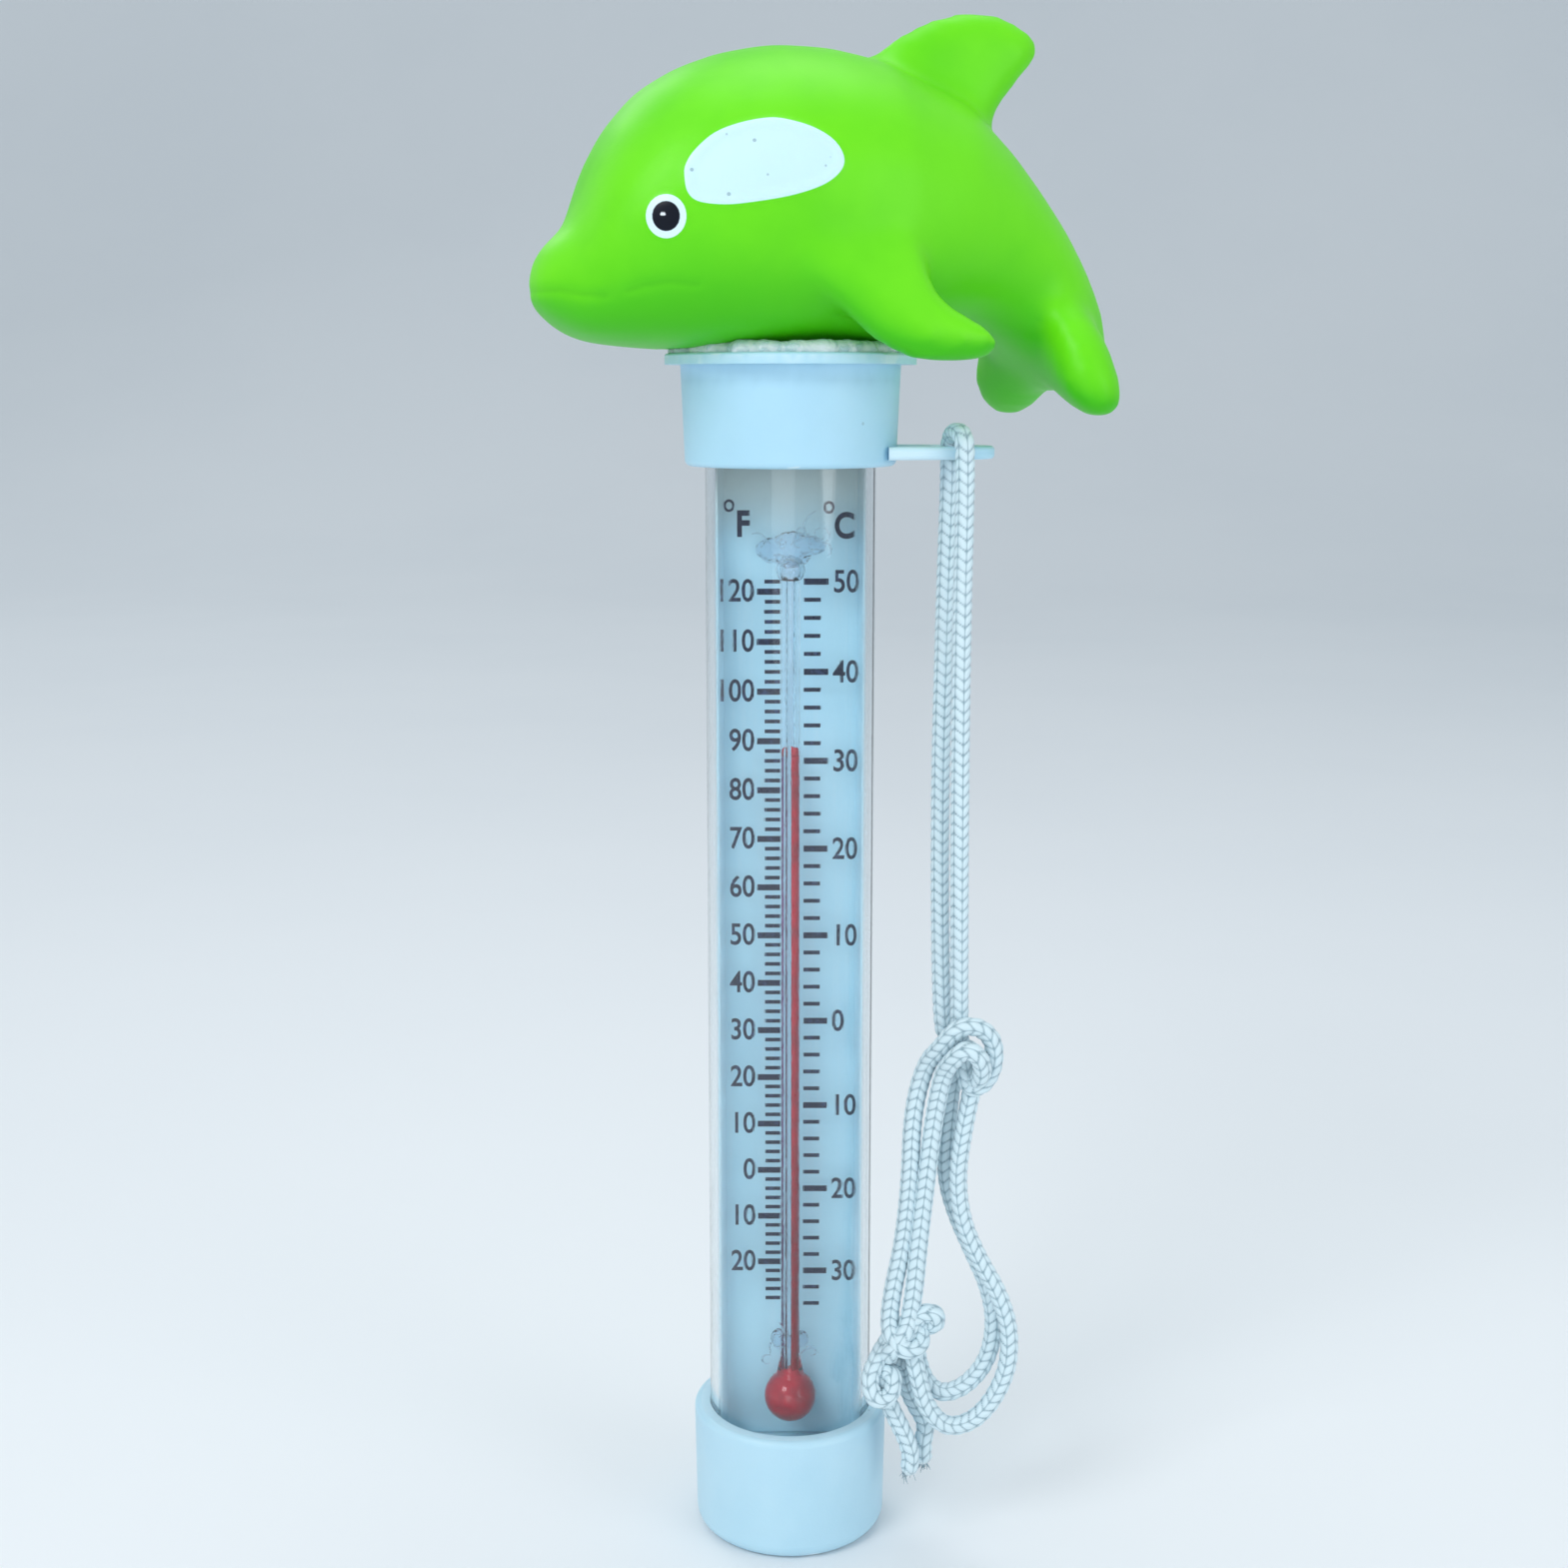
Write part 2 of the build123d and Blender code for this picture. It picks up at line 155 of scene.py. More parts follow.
camera = {
    "place": (-0.000765, -0.24568, 0.140917),
    "tiltDown": 9.199,
    "lens": 47.933,
    "shiftY": -0.03792,
}


def makeCamera():
    data = bpy.data.cameras.new("camera")
    data.lens = camera["lens"]
    data.sensor_width = 36
    data.shift_y = camera["shiftY"]
    data.clip_start = 0.01
    made = bpy.data.objects.new("camera", data)
    made.location = camera["place"]
    made.rotation_euler = (math.radians(90 - camera["tiltDown"]), 0, 0)
    scene.collection.objects.link(made)
    scene.camera = made


makeCamera()
print("camera set")


def makeMouldedGrain():
    # Soft clouding of the colour with a fine pebble, as moulded plastic and vinyl have
    group, given, result = startGroup("mouldedGrain", [
        ("Colour", "Color", (0.8, 0.8, 0.8, 1)), ("Cloud Colour", "Color", (0.7, 0.7, 0.7, 1)),
        ("Cloud Scale", "Float", 120.0), ("Cloud Amount", "Float", 0.5),
        ("Grain Scale", "Float", 3000.0), ("Grain Height", "Float", 0.15),
        ("Roughness", "Float", 0.4), ("Roughness Spread", "Float", 0.1)],
        [("Colour", "Color"), ("Roughness", "Float"), ("Normal", "Vector")])
    place = objectPlace(group)
    cloud = noiseField(group, place, given.outputs["Cloud Scale"], 4.0, {"Roughness": 0.55})
    grain = noiseField(group, place, given.outputs["Grain Scale"], 2.0)
    soft = spread(group, cloud, 0.35, 0.68)
    amount = sums(group, "MULTIPLY", soft, given.outputs["Cloud Amount"])
    colour = blendColours(group, amount, given.outputs["Colour"], given.outputs["Cloud Colour"])
    uneven = sums(group, "SUBTRACT", cloud, 0.5)
    rough = sums(group, "MULTIPLY_ADD", uneven, given.outputs["Roughness Spread"], given.outputs["Roughness"])
    height = sums(group, "MULTIPLY_ADD", cloud, 2.0, grain)
    bump = bumpFrom(group, height, given.outputs["Grain Height"], 0.0001)
    group.links.new(colour, result.inputs["Colour"])
    group.links.new(rough, result.inputs["Roughness"])
    group.links.new(bump, result.inputs["Normal"])
    return group


def makeEdgeShade():
    # Painted light: lighter along sharp edges, a painted highlight, and darker in hollows, a painted shade
    group, given, result = startGroup("edgeShade", [
        ("Colour", "Color", (0.8, 0.8, 0.8, 1)), ("Edge Colour", "Color", (0.9, 0.9, 0.9, 1)),
        ("Hollow Colour", "Color", (0.4, 0.4, 0.4, 1)), ("Edge Amount", "Float", 0.5),
        ("Hollow Amount", "Float", 0.5)], [("Colour", "Color"), ("Edge Mask", "Float")])
    point = addNode(group, "ShaderNodeNewGeometry").outputs["Pointiness"]
    edgeHighlight = sums(group, "MULTIPLY", spread(group, point, 0.51, 0.58), given.outputs["Edge Amount"])
    hollowShade = sums(group, "MULTIPLY", spread(group, point, 0.49, 0.42), given.outputs["Hollow Amount"])
    lit = blendColours(group, edgeHighlight, given.outputs["Colour"], given.outputs["Edge Colour"])
    colour = blendColours(group, hollowShade, lit, given.outputs["Hollow Colour"])
    group.links.new(colour, result.inputs["Colour"])
    group.links.new(edgeHighlight, result.inputs["Edge Mask"])
    return group


def makeFineScratches():
    # Short hairlines, mostly along the length, as handled clear plastic and metal get
    group, given, result = startGroup("fineScratches", [
        ("Scale", "Float", 300.0), ("Stretch", "Float", 0.06), ("Amount", "Float", 0.4)],
        [("Mask", "Float"), ("Normal", "Vector")])
    place = objectPlace(group)
    long = addNode(group, "ShaderNodeCombineXYZ", None, {0: 1.0, 1: 1.0,
                                                         2: given.outputs["Stretch"]}).outputs[0]
    stretched = addNode(group, "ShaderNodeVectorMath", {"operation": "MULTIPLY"},
                        {0: place, 1: long}).outputs[0]
    hair = noiseField(group, stretched, given.outputs["Scale"], 6.0, {"Roughness": 0.7})
    line = spread(group, sums(group, "ABSOLUTE", sums(group, "SUBTRACT", hair, 0.5)), 0.0, 0.02, 1.0, 0.0)
    mask = sums(group, "MULTIPLY", line, given.outputs["Amount"])
    bump = bumpFrom(group, mask, 0.15, 0.00005)
    group.links.new(mask, result.inputs["Mask"])
    group.links.new(bump, result.inputs["Normal"])
    return group


mouldedGrain = makeMouldedGrain()
edgeShade = makeEdgeShade()
fineScratches = makeFineScratches()


def dressNode(name, material):
    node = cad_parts[name]
    node.data.materials.clear()
    node.data.materials.append(material)


def addPiece(name, mesh, material, body="tube"):
    made = bpy.data.objects.new(name, mesh)
    scene.collection.objects.link(made)
    mesh.materials.clear()
    mesh.materials.append(material)
    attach(made, body)
    return made


def smoothMesh(mesh):
    mesh.polygons.foreach_set("use_smooth", [True] * len(mesh.polygons))
    mesh.update()


def finishMesh(build, name, outward=True, smooth=True):
    if outward:
        bmesh.ops.recalc_face_normals(build, faces=build.faces)
    mesh = bpy.data.meshes.new(name)
    build.to_mesh(mesh)
    build.free()
    if smooth:
        smoothMesh(mesh)
    return mesh


def keepValues(mesh, name, values):
    kept = mesh.attributes.new(name, "FLOAT", "POINT")
    kept.data.foreach_set("value", np.asarray(values, np.float32))


lanyard = {
    "diameter": 0.0023,
    "columns": 6,
    "aroundEachColumn": 8,
    "veePitch": 0.00125,
    "veeSlope": 0.62,
    "relief": 0.00017,
    "ringStep": 0.00018,
    "meltedLength": 0.0009,
    "strandColour": paint(208, 230, 238),
    "gapShade": paint(118, 152, 166),
}

# Over the lug's web, down the front, round the upper knot, down the outer left run and out of the lower knot
frontHalf = [
    (0.01915, -0.00375, 0.1357), (0.01975, -0.0065, 0.1357), (0.01985, -0.0064, 0.132),
    (0.0199, -0.00635, 0.1295), (0.01975, -0.0061, 0.114), (0.01985, -0.0055, 0.091),
    (0.0202, -0.0049, 0.0655), (0.0204, -0.0042, 0.0628), (0.0209, -0.0052, 0.0602),
    (0.0214, -0.0048, 0.0576), (0.0230, -0.0062, 0.0583), (0.0243, -0.0063, 0.0607),
    (0.0243, -0.0064, 0.0640), (0.0224, -0.0068, 0.0660), (0.0198, -0.0068, 0.0658),
    (0.0180, -0.0062, 0.0632), (0.0162, -0.0043, 0.0605), (0.0147, -0.0047, 0.0545),
    (0.0145, -0.0052, 0.0460), (0.0137, -0.0057, 0.0382), (0.0126, -0.0062, 0.0334),
    (0.0120, -0.0064, 0.0290), (0.0122, -0.0078, 0.0270), (0.0140, -0.0090, 0.0258),
    (0.0160, -0.0080, 0.0262), (0.0158, -0.0058, 0.0280), (0.0138, -0.0046, 0.0276),
    (0.0118, -0.0056, 0.0256), (0.0104, -0.0076, 0.0240), (0.0094, -0.0092, 0.0222),
    (0.0102, -0.0100, 0.0200), (0.0122, -0.0094, 0.0202), (0.0126, -0.0080, 0.0226),
    (0.0112, -0.0074, 0.0226), (0.0114, -0.0080, 0.0200), (0.0128, -0.0080, 0.0170),
    (0.0142, -0.0082, 0.0142), (0.0149, -0.0081, 0.0116), (0.0144, -0.0080, 0.0096),
]
# The other way over the web, behind the upper knot, round the hand loop and back, and out of the lower knot
rearHalf = [
    (0.01915, -0.00375, 0.1357), (0.01855, -0.0010, 0.1357), (0.0185, -0.0011, 0.132),
    (0.0185, -0.0012, 0.1295), (0.0181, -0.0017, 0.1155), (0.0177, -0.0024, 0.0920),
    (0.0181, -0.0033, 0.0655), (0.0192, -0.0022, 0.0628), (0.0216, -0.0026, 0.0612),
    (0.0222, -0.0044, 0.0590), (0.0210, -0.0043, 0.0525), (0.0202, -0.0045, 0.0465),
    (0.0208, -0.0049, 0.0410), (0.0230, -0.0053, 0.0360), (0.0254, -0.0057, 0.0320),
    (0.0269, -0.0062, 0.0270), (0.0264, -0.0068, 0.0215), (0.0232, -0.0072, 0.0164),
    (0.0192, -0.0077, 0.0152), (0.0166, -0.0080, 0.0180), (0.0154, -0.0080, 0.0225),
    (0.0146, -0.0070, 0.0262), (0.0152, -0.0068, 0.0296), (0.0177, -0.0072, 0.0302),
    (0.0178, -0.0066, 0.0281), (0.0152, -0.0056, 0.0276), (0.0154, -0.0054, 0.0242),
    (0.0164, -0.0055, 0.0205), (0.0186, -0.0056, 0.0186), (0.0218, -0.0054, 0.0198),
    (0.0244, -0.0048, 0.0230), (0.0252, -0.0040, 0.0276), (0.0243, -0.0033, 0.0320),
    (0.0224, -0.0027, 0.0360), (0.0202, -0.0022, 0.0410), (0.0190, -0.0019, 0.0455),
    (0.0191, -0.0021, 0.0515), (0.0198, -0.0024, 0.0590), (0.0208, -0.0028, 0.0624),
    (0.0222, -0.0036, 0.0616), (0.0220, -0.0052, 0.0586), (0.0228, -0.0074, 0.0598),
    (0.0226, -0.0088, 0.0626), (0.0208, -0.0090, 0.0640), (0.0192, -0.0080, 0.0622),
    (0.0182, -0.0060, 0.0598), (0.0172, -0.0053, 0.0535), (0.0163, -0.0058, 0.0454),
    (0.0155, -0.0064, 0.0382), (0.0151, -0.0069, 0.0334), (0.0145, -0.0069, 0.0290),
    (0.0136, -0.0084, 0.0272), (0.0118, -0.0080, 0.0250), (0.0122, -0.0060, 0.0238),
    (0.0138, -0.0046, 0.0226), (0.0140, -0.0039, 0.0200), (0.0152, -0.0036, 0.0168),
    (0.0170, -0.0044, 0.0142), (0.0162, -0.0054, 0.0118), (0.0165, -0.0054, 0.0096),
]


def splineLine(route):
    # The smooth line that the route's NURBS spline draws
    curve = bpy.data.curves.new("routeLine", "CURVE")
    curve.dimensions = "3D"
    spline = curve.splines.new("NURBS")
    spline.points.add(len(route) - 1)
    for point, place in zip(spline.points, route):
        point.co = (*place, 1)
    spline.order_u = 3
    spline.use_endpoint_u = True
    spline.resolution_u = 40
    holder = bpy.data.objects.new("routeLine", curve)
    scene.collection.objects.link(holder)
    bpy.context.view_layer.update()
    mesh = bpy.data.meshes.new_from_object(holder)
    line = np.array([vertex.co for vertex in mesh.vertices], float)
    bpy.data.objects.remove(holder)
    bpy.data.curves.remove(curve)
    bpy.data.meshes.remove(mesh)
    return line


def evenSteps(line, step):
    gaps = np.linalg.norm(np.diff(line, axis=0), axis=1)
    line = line[np.concatenate(([True], gaps > 1e-9))]
    travelled = np.concatenate(([0], np.cumsum(np.linalg.norm(np.diff(line, axis=0), axis=1))))
    count = max(2, round(travelled[-1] / step) + 1)
    stops = np.linspace(0, travelled[-1], count)
    return np.stack([np.interp(stops, travelled, line[:, axis]) for axis in range(3)], axis=1), stops


def carriedFrames(line):
    # A side vector carried along the line without twisting
    tangents = np.gradient(line, axis=0)
    tangents /= np.linalg.norm(tangents, axis=1, keepdims=True)
    sides = np.zeros_like(line)
    side = np.cross(tangents[0], (1.0, 0.0, 0.0))
    side /= np.linalg.norm(side)
    for index, tangent in enumerate(tangents):
        side = side - tangent * side.dot(tangent)
        side /= np.linalg.norm(side)
        sides[index] = side
    return tangents, sides, np.cross(tangents, sides)


def braidHeight(around, along):
    # Each column of the braid leans the other way from its neighbours, so pairs make a row of Vs
    column = np.floor(around)
    across = around - column
    lean = np.where(column % 2 == 0, 1.0, -1.0)
    turn = along / lanyard["veePitch"] + lanyard["veeSlope"] * lean * (across - 0.5)
    strand = np.abs(np.sin(np.pi * turn)) ** 0.55
    tuckedEnds = np.clip(4 * across * (1 - across), 0, 1) ** 0.4
    return strand * (0.3 + 0.7 * tuckedEnds)


def braidedTube(name, route):
    line, stops = evenSteps(splineLine(route), lanyard["ringStep"])
    tangents, sides, ups = carriedFrames(line)
    columns = lanyard["columns"] * lanyard["aroundEachColumn"]
    angles = np.arange(columns) / columns * 2 * np.pi
    height = braidHeight((np.arange(columns) / lanyard["aroundEachColumn"])[None, :], stops[:, None])
    radius = lanyard["diameter"] / 2 - lanyard["relief"] * (1 - height)
    melted = np.clip(1 - (stops[-1] - stops) / lanyard["meltedLength"], 0, 1)[:, None]
    radius = radius * (1 - 0.45 * melted**2) * (1 + 0.1 * melted * np.sin(3 * angles)[None, :])
    ring = np.cos(angles)[None, :, None] * sides[:, None, :] + np.sin(angles)[None, :, None] * ups[:, None, :]
    places = line[:, None, :] + radius[:, :, None] * ring
    rings = len(line)
    vertices = places.reshape(-1, 3)
    vertices = np.vstack([vertices, line[0], line[-1] + tangents[-1] * 0.0002])
    row = (np.arange(rings - 1) * columns)[:, None]
    here = np.arange(columns)[None, :]
    following = (np.arange(columns) + 1)[None, :] % columns
    quads = np.stack([row + here, row + following, row + columns + following, row + columns + here], axis=2)
    faces = quads.reshape(-1, 4).tolist()
    last = (rings - 1) * columns
    for index in range(columns):
        after = (index + 1) % columns
        faces.append((rings * columns, after, index))
        faces.append((rings * columns + 1, last + index, last + after))
    mesh = bpy.data.meshes.new(name)
    mesh.from_pydata(vertices.tolist(), [], faces)
    smoothMesh(mesh)
    keepValues(mesh, "strandHeight", np.concatenate([height.ravel(), [0.5, 0.5]]))
    keepValues(mesh, "melted", np.concatenate([np.repeat(melted.ravel(), columns), [0, 1]]))
    return mesh, line, float(stops[-1])


def makeCordMaterial():
    material, tree, shader, output = startMaterial("braidedCord", {
        "Roughness": 0.55, "Subsurface Weight": 0.12, "Subsurface Radius": (1, 1, 1),
        "Subsurface Scale": 0.0006,
        "Sheen Weight": 0.25, "Sheen Roughness": 0.4, "Specular IOR Level": 0.45})
    height, melted = keptValue(tree, "strandHeight"), keptValue(tree, "melted")
    place = objectPlace(tree)
    fibre = noiseField(tree, place, 4200.0, 3.0, {"Roughness": 0.7})
    soil = noiseField(tree, place, 90.0, 3.0)
    # Painted shade: darker in the valleys between the strands
    depth = spread(tree, height, 0.05, 0.75)
    colour = blendColours(tree, depth, lanyard["gapShade"], lanyard["strandColour"])
    soiled = sums(tree, "MULTIPLY", spread(tree, soil, 0.45, 0.75), 0.22)
    colour = blendColours(tree, soiled, colour, paint(196, 214, 222))
    colour = blendColours(tree, sums(tree, "MULTIPLY", fibre, 0.16), colour, paint(255, 255, 255))
    colour = blendColours(tree, sums(tree, "MULTIPLY", melted, 0.6), colour, paint(214, 224, 226))
    rough = spread(tree, fibre, 0.3, 0.7, 0.45, 0.68)
    rough = sums(tree, "MULTIPLY_ADD", melted, -0.25, rough)
    bump = bumpFrom(tree, sums(tree, "MULTIPLY_ADD", height, 1.2, fibre), 0.35, 0.00006)
    wireSurface(tree, shader, colour, rough, bump)
    return material


def makeTailFray(name, end, direction, material, seed):
    # Loose filament ends at a tail's tip
    random.seed(seed)
    build = bmesh.new()
    for index in range(16):
        lean = Vector((random.uniform(-1, 1), random.uniform(-1, 1), random.uniform(-0.4, 0.4))) * 0.75
        heading = (Vector(direction) + lean).normalized()
        start = Vector(end) + Vector((random.uniform(-1, 1), random.uniform(-1, 1), 0)) * 0.0006
        thick = random.uniform(0.00006, 0.00011)
        long = random.uniform(0.0006, 0.0017)
        bend = Vector((random.uniform(-1, 1), random.uniform(-1, 1), -0.3)) * 0.0004
        side = heading.orthogonal().normalized()
        other = heading.cross(side)
        before = None
        for step in range(5):
            share = step / 4
            centre = start - heading * 0.0005 + heading * long * share + bend * share * share
            width = thick * (1 - 0.6 * share)
            ring = [build.verts.new(centre + (side * math.cos(turn) + other * math.sin(turn)) * width)
                    for turn in (0, 2 * math.pi / 3, 4 * math.pi / 3)]
            if before:
                for a in range(3):
                    build.faces.new((before[a], before[(a + 1) % 3], ring[(a + 1) % 3], ring[a]))
            else:
                build.faces.new(ring[::-1])
            before = ring
        build.faces.new(before)
    return addPiece(name, finishMesh(build, name), material, "lanyard")


cordMaterial = makeCordMaterial()


def makeLanyard():
    halves = (
        ("lanyardFront", frontHalf, ["cord_bight", "cord_front", "cord_left_outer", "lower_knot_tuck",
                                     "tail_left"]),
        ("lanyardRear", rearHalf, ["cord_rear", "upper_knot", "cord_loop_outer", "cord_loop_inner",
                                   "cord_left_inner", "lower_knot", "tail_right"]),
    )
    for seed, (name, route, nodes) in enumerate(halves, 5):
        mesh, line, length = braidedTube(name, route)
        piece = addPiece(name, mesh, cordMaterial, "lanyard")
        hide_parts(*nodes)
        end, heading = line[-1], line[-1] - line[-12]
        fray = makeTailFray(name + "Fray", end, Vector(heading).normalized(), cordMaterial, seed)
        print(name, "length", round(length, 4))


makeLanyard()
print("lanyard made")


dolphin = {
    "yaw": 18.0,
    "remeshSize": 0.0009,
    "smoothing": 16,
    "green": paint(112, 226, 20),
    # Deep green for the random clouding, and also for the painted shade low down on the body
    "deepGreenCloudAndShade": paint(64, 190, 2),
    "white": paint(206, 238, 248),
    "speck": paint(120, 150, 160),
    "eyeRing": paint(216, 240, 248),
    "pupil": paint(6, 14, 28),
    "glint": paint(235, 242, 248),
    # The mouth colour is the painted shade in the mouth crease
    "mouth": paint(46, 160, 6),
    "finThickness": 6.8,  # these four in millimetres
    "flipperThickness": 5.0,
    "flukeThickness": 8.0,
    "bellyFlat": 15.6,
}
flangeTop = 0.14465
bellyLevel = 0.14515

# along, top, bottom and half width, in millimetres from the flange's top
headRings = [
    (-30.6, 7.6, 5.6, 1.2), (-30.2, 9.3, 5.0, 3.0), (-29.3, 11.2, 4.2, 4.8), (-28.0, 12.5, 3.1, 6.6),
    (-26.4, 13.7, 2.1, 8.4), (-25.2, 16.2, 1.5, 9.8), (-23.6, 21.0, 1.1, 11.5), (-21.4, 24.9, 0.8, 13.2),
    (-18.0, 28.7, 0.5, 15.1), (-13.7, 31.3, 0.3, 16.7), (-8.9, 33.1, 0.2, 17.7), (-3.1, 34.25, 0.1, 18.2),
    (3.0, 34.2, 0.1, 18.2), (8.5, 33.3, 0.2, 17.7),
]
# along, height, lean, half width, half height: these bend down into the tail
tailRings = [
    (16.0, 15.0, 16, 15.2, 14.4), (20.6, 13.2, 26, 13.0, 11.8), (24.3, 11.2, 36, 11.3, 9.7),
    (27.6, 8.8, 44, 10.0, 8.3), (30.6, 5.8, 50, 9.2, 7.1), (33.2, 2.4, 56, 8.4, 6.0),
    (35.0, -1.0, 62, 7.2, 4.8), (35.9, -3.2, 66, 5.4, 3.6),
]
finOutline = [(8.0, 31.5), (10.5, 34.4), (14.0, 36.8), (18.0, 38.7), (22.0, 39.4), (25.8, 39.1), (29.0, 37.7),
              (30.7, 35.8), (30.2, 33.8), (27.8, 31.2), (25.4, 28.2), (23.4, 24.4), (18.0, 22.0),
              (10.0, 27.0)]
flipperOutline = [(-6.0, 7.6), (0.0, 9.6), (6.0, 8.4), (9.2, 5.7), (10.0, 3.3), (10.6, 1.0), (12.2, -0.7),
                  (14.2, -2.0), (16.9, -3.7), (17.2, -5.3), (14.8, -6.4), (9.0, -6.5), (5.5, -5.3),
                  (3.0, -3.8),
                  (-0.3, -0.6), (-3.4, 2.2), (-5.9, 4.9)]
flukeOutline = [(-1.0, 11.6), (3.0, 11.8), (7.0, 10.2), (10.6, 7.2), (13.6, 3.4), (15.3, -0.4), (15.8, -3.6),
                (13.8, -5.6), (9.6, -5.0), (5.5, -3.4), (2.0, -2.2), (-2.0, 0.0)]


def floatPlace(along, side, height):
    turn = math.radians(dolphin["yaw"])
    x = along * math.cos(turn) + side * math.sin(turn)
    y = along * math.sin(turn) - side * math.cos(turn)
    return Vector((x / 1000, y / 1000, flangeTop + height / 1000))


def smoothOutline(points, perRun=5):
    # A closed Catmull-Rom line through the outline's points
    fine = []
    count = len(points)
    for index in range(count):
        a, b, c, d = (Vector(points[(index + shift) % count]) for shift in (-1, 0, 1, 2))
        for step in range(perRun):
            t = step / perRun
            fine.append(0.5 * (2 * b + (c - a) * t + (2 * a - 5 * b + 4 * c - d) * t * t
                               + (3 * b - a - 3 * c + d) * t**3))
    return fine


def skinRings(build, rings):
    # Joins closed rings of points into a capped skin
    made = [[build.verts.new(place) for place in ring] for ring in rings]
    for low, high in zip(made, made[1:]):
        for index in range(len(low)):
            after = (index + 1) % len(low)
            build.faces.new((low[index], low[after], high[after], high[index]))
    build.faces.new(made[0][::-1])
    build.faces.new(made[-1])


def bodyRing(halfWidth, halfHeight, steps=40):
    ring = []
    for step in range(steps):
        turn = 2 * math.pi * step / steps
        across, up = math.cos(turn), math.sin(turn)
        power = 1.0 if up >= 0 else 0.7
        ring.append((halfWidth * math.copysign(abs(across) ** power, across),
                     halfHeight * math.copysign(abs(up) ** power, up)))
    return ring


def bladeRings(outline, thickness, place):
    # Layers of the outline, drawn in towards both faces, so that the edge is round
    fine = smoothOutline(outline)
    count = len(fine)
    middle = sum(fine, Vector((0, 0))) / count
    rings = []
    for step in range(13):
        turn = math.radians(-84 + 14 * step)
        inset = thickness * 0.5 * (1 - math.cos(turn))
        ring = []
        for index, point in enumerate(fine):
            ahead = fine[(index + 1) % count] - fine[index - 1]
            inward = Vector((-ahead.y, ahead.x)).normalized()
            if inward.dot(middle - point) < 0:
                inward = -inward
            moved = point + inward * inset
            ring.append(place(moved.x, moved.y, thickness / 2 * math.sin(turn)))
        rings.append(ring)
    return rings


def dolphinMesh():
    build = bmesh.new()
    rings = []
    for along, top, bottom, halfWidth in headRings:
        middle, halfHeight = (top + bottom) / 2, (top - bottom) / 2
        rings.append([floatPlace(along, side, middle + up) for side, up in bodyRing(halfWidth, halfHeight)])
    for along, height, lean, halfWidth, halfHeight in tailRings:
        tilt = math.radians(lean)
        rings.append([floatPlace(along + up * math.sin(tilt), side, height + up * math.cos(tilt))
                      for side, up in bodyRing(halfWidth, halfHeight)])
    skinRings(build, rings)

    def finPlace(u, v, out):
        taper = 1 - 0.45 * min(1, max(0, (v - 27) / 12))
        return floatPlace(u, out * taper, v)

    skinRings(build, bladeRings(finOutline, dolphin["finThickness"], finPlace))
    for sign in (1, -1):
        def flipperPlace(u, v, out, sign=sign):
            tilt = math.radians(25)
            reach = 15.0 + 0.33 * (8 - v) + 0.06 * max(0, u)
            return floatPlace(u, sign * (reach + out * math.cos(tilt)), 5.4 + v + out * math.sin(tilt))

        def flukePlace(u, v, out, sign=sign):
            tilt = math.radians(14)
            forward = 32.6 - out * math.cos(tilt) - 0.011 * (v + 5.5) ** 2
            return floatPlace(forward, sign * u, -1.7 + v + out * math.sin(tilt))

        skinRings(build, bladeRings(flipperOutline, dolphin["flipperThickness"], flipperPlace))
        skinRings(build, bladeRings(flukeOutline, dolphin["flukeThickness"], flukePlace))
    return finishMesh(build, "dolphinRough", smooth=False)


def remeshed(mesh, size, smoothing):
    holder = bpy.data.objects.new("remeshHolder", mesh)
    scene.collection.objects.link(holder)
    voxel = holder.modifiers.new("voxel", "REMESH")
    voxel.mode = "VOXEL"
    voxel.voxel_size = size
    soften = holder.modifiers.new("soften", "SMOOTH")
    soften.factor = 0.5
    soften.iterations = smoothing
    divide = holder.modifiers.new("divide", "SUBSURF")
    divide.levels = 1
    divide.render_levels = 1
    depsgraph = bpy.context.evaluated_depsgraph_get()
    done = bpy.data.meshes.new_from_object(holder.evaluated_get(depsgraph))
    bpy.data.objects.remove(holder)
    return done


# Painted parts and the mouth crease, as outlines or centres of (along, height) seen from the side, in millimetres
patchOutline = [(-16.7, 18.1), (-16.5, 16.5), (-15.4, 15.5), (-12.6, 15.2), (-9.1, 15.6), (-5.5, 16.3),
                (-2.3, 17.4), (-0.4, 18.8), (0.1, 20.3), (-0.8, 22.0), (-2.8, 23.3), (-5.4, 24.1),
                (-7.6, 24.3),
                (-10.7, 23.7), (-13.4, 22.6), (-15.5, 20.8), (-16.5, 19.3)]
eyeCentre = (-18.6, 14.0)
mouthFront = [(-30.2, 6.7), (-28.4, 6.6), (-26.2, 6.1), (-24.3, 5.9)]
mouthRear = [(-22.2, 6.4), (-20.8, 6.9), (-18.3, 7.3), (-15.3, 7.0)]


def lineDistance(points, line):
    best = np.full(len(points), 1e9)
    for start, end in zip(line[:-1], line[1:]):
        run = end - start
        share = np.clip(((points - start) @ run) / (run @ run), 0, 1)
        best = np.minimum(best, np.linalg.norm(points - start - share[:, None] * run, axis=1))
    return best


def outlineDistance(points, outline):
    # Signed distance in the side view: below nought inside the outline
    closed = np.array([(p.x, p.y) for p in smoothOutline(outline, 8)])
    best = lineDistance(points, np.vstack([closed, closed[:1]]))
    inside = np.zeros(len(points), bool)
    for start, end in zip(closed, np.roll(closed, -1, axis=0)):
        run = end - start
        crosses = (start[1] > points[:, 1]) != (end[1] > points[:, 1])
        level = np.where(crosses, (points[:, 1] - start[1]) / (end[1] - start[1] + 1e-12), 0)
        inside ^= crosses & (points[:, 0] < start[0] + level * run[0])
    return np.where(inside, -best, best)


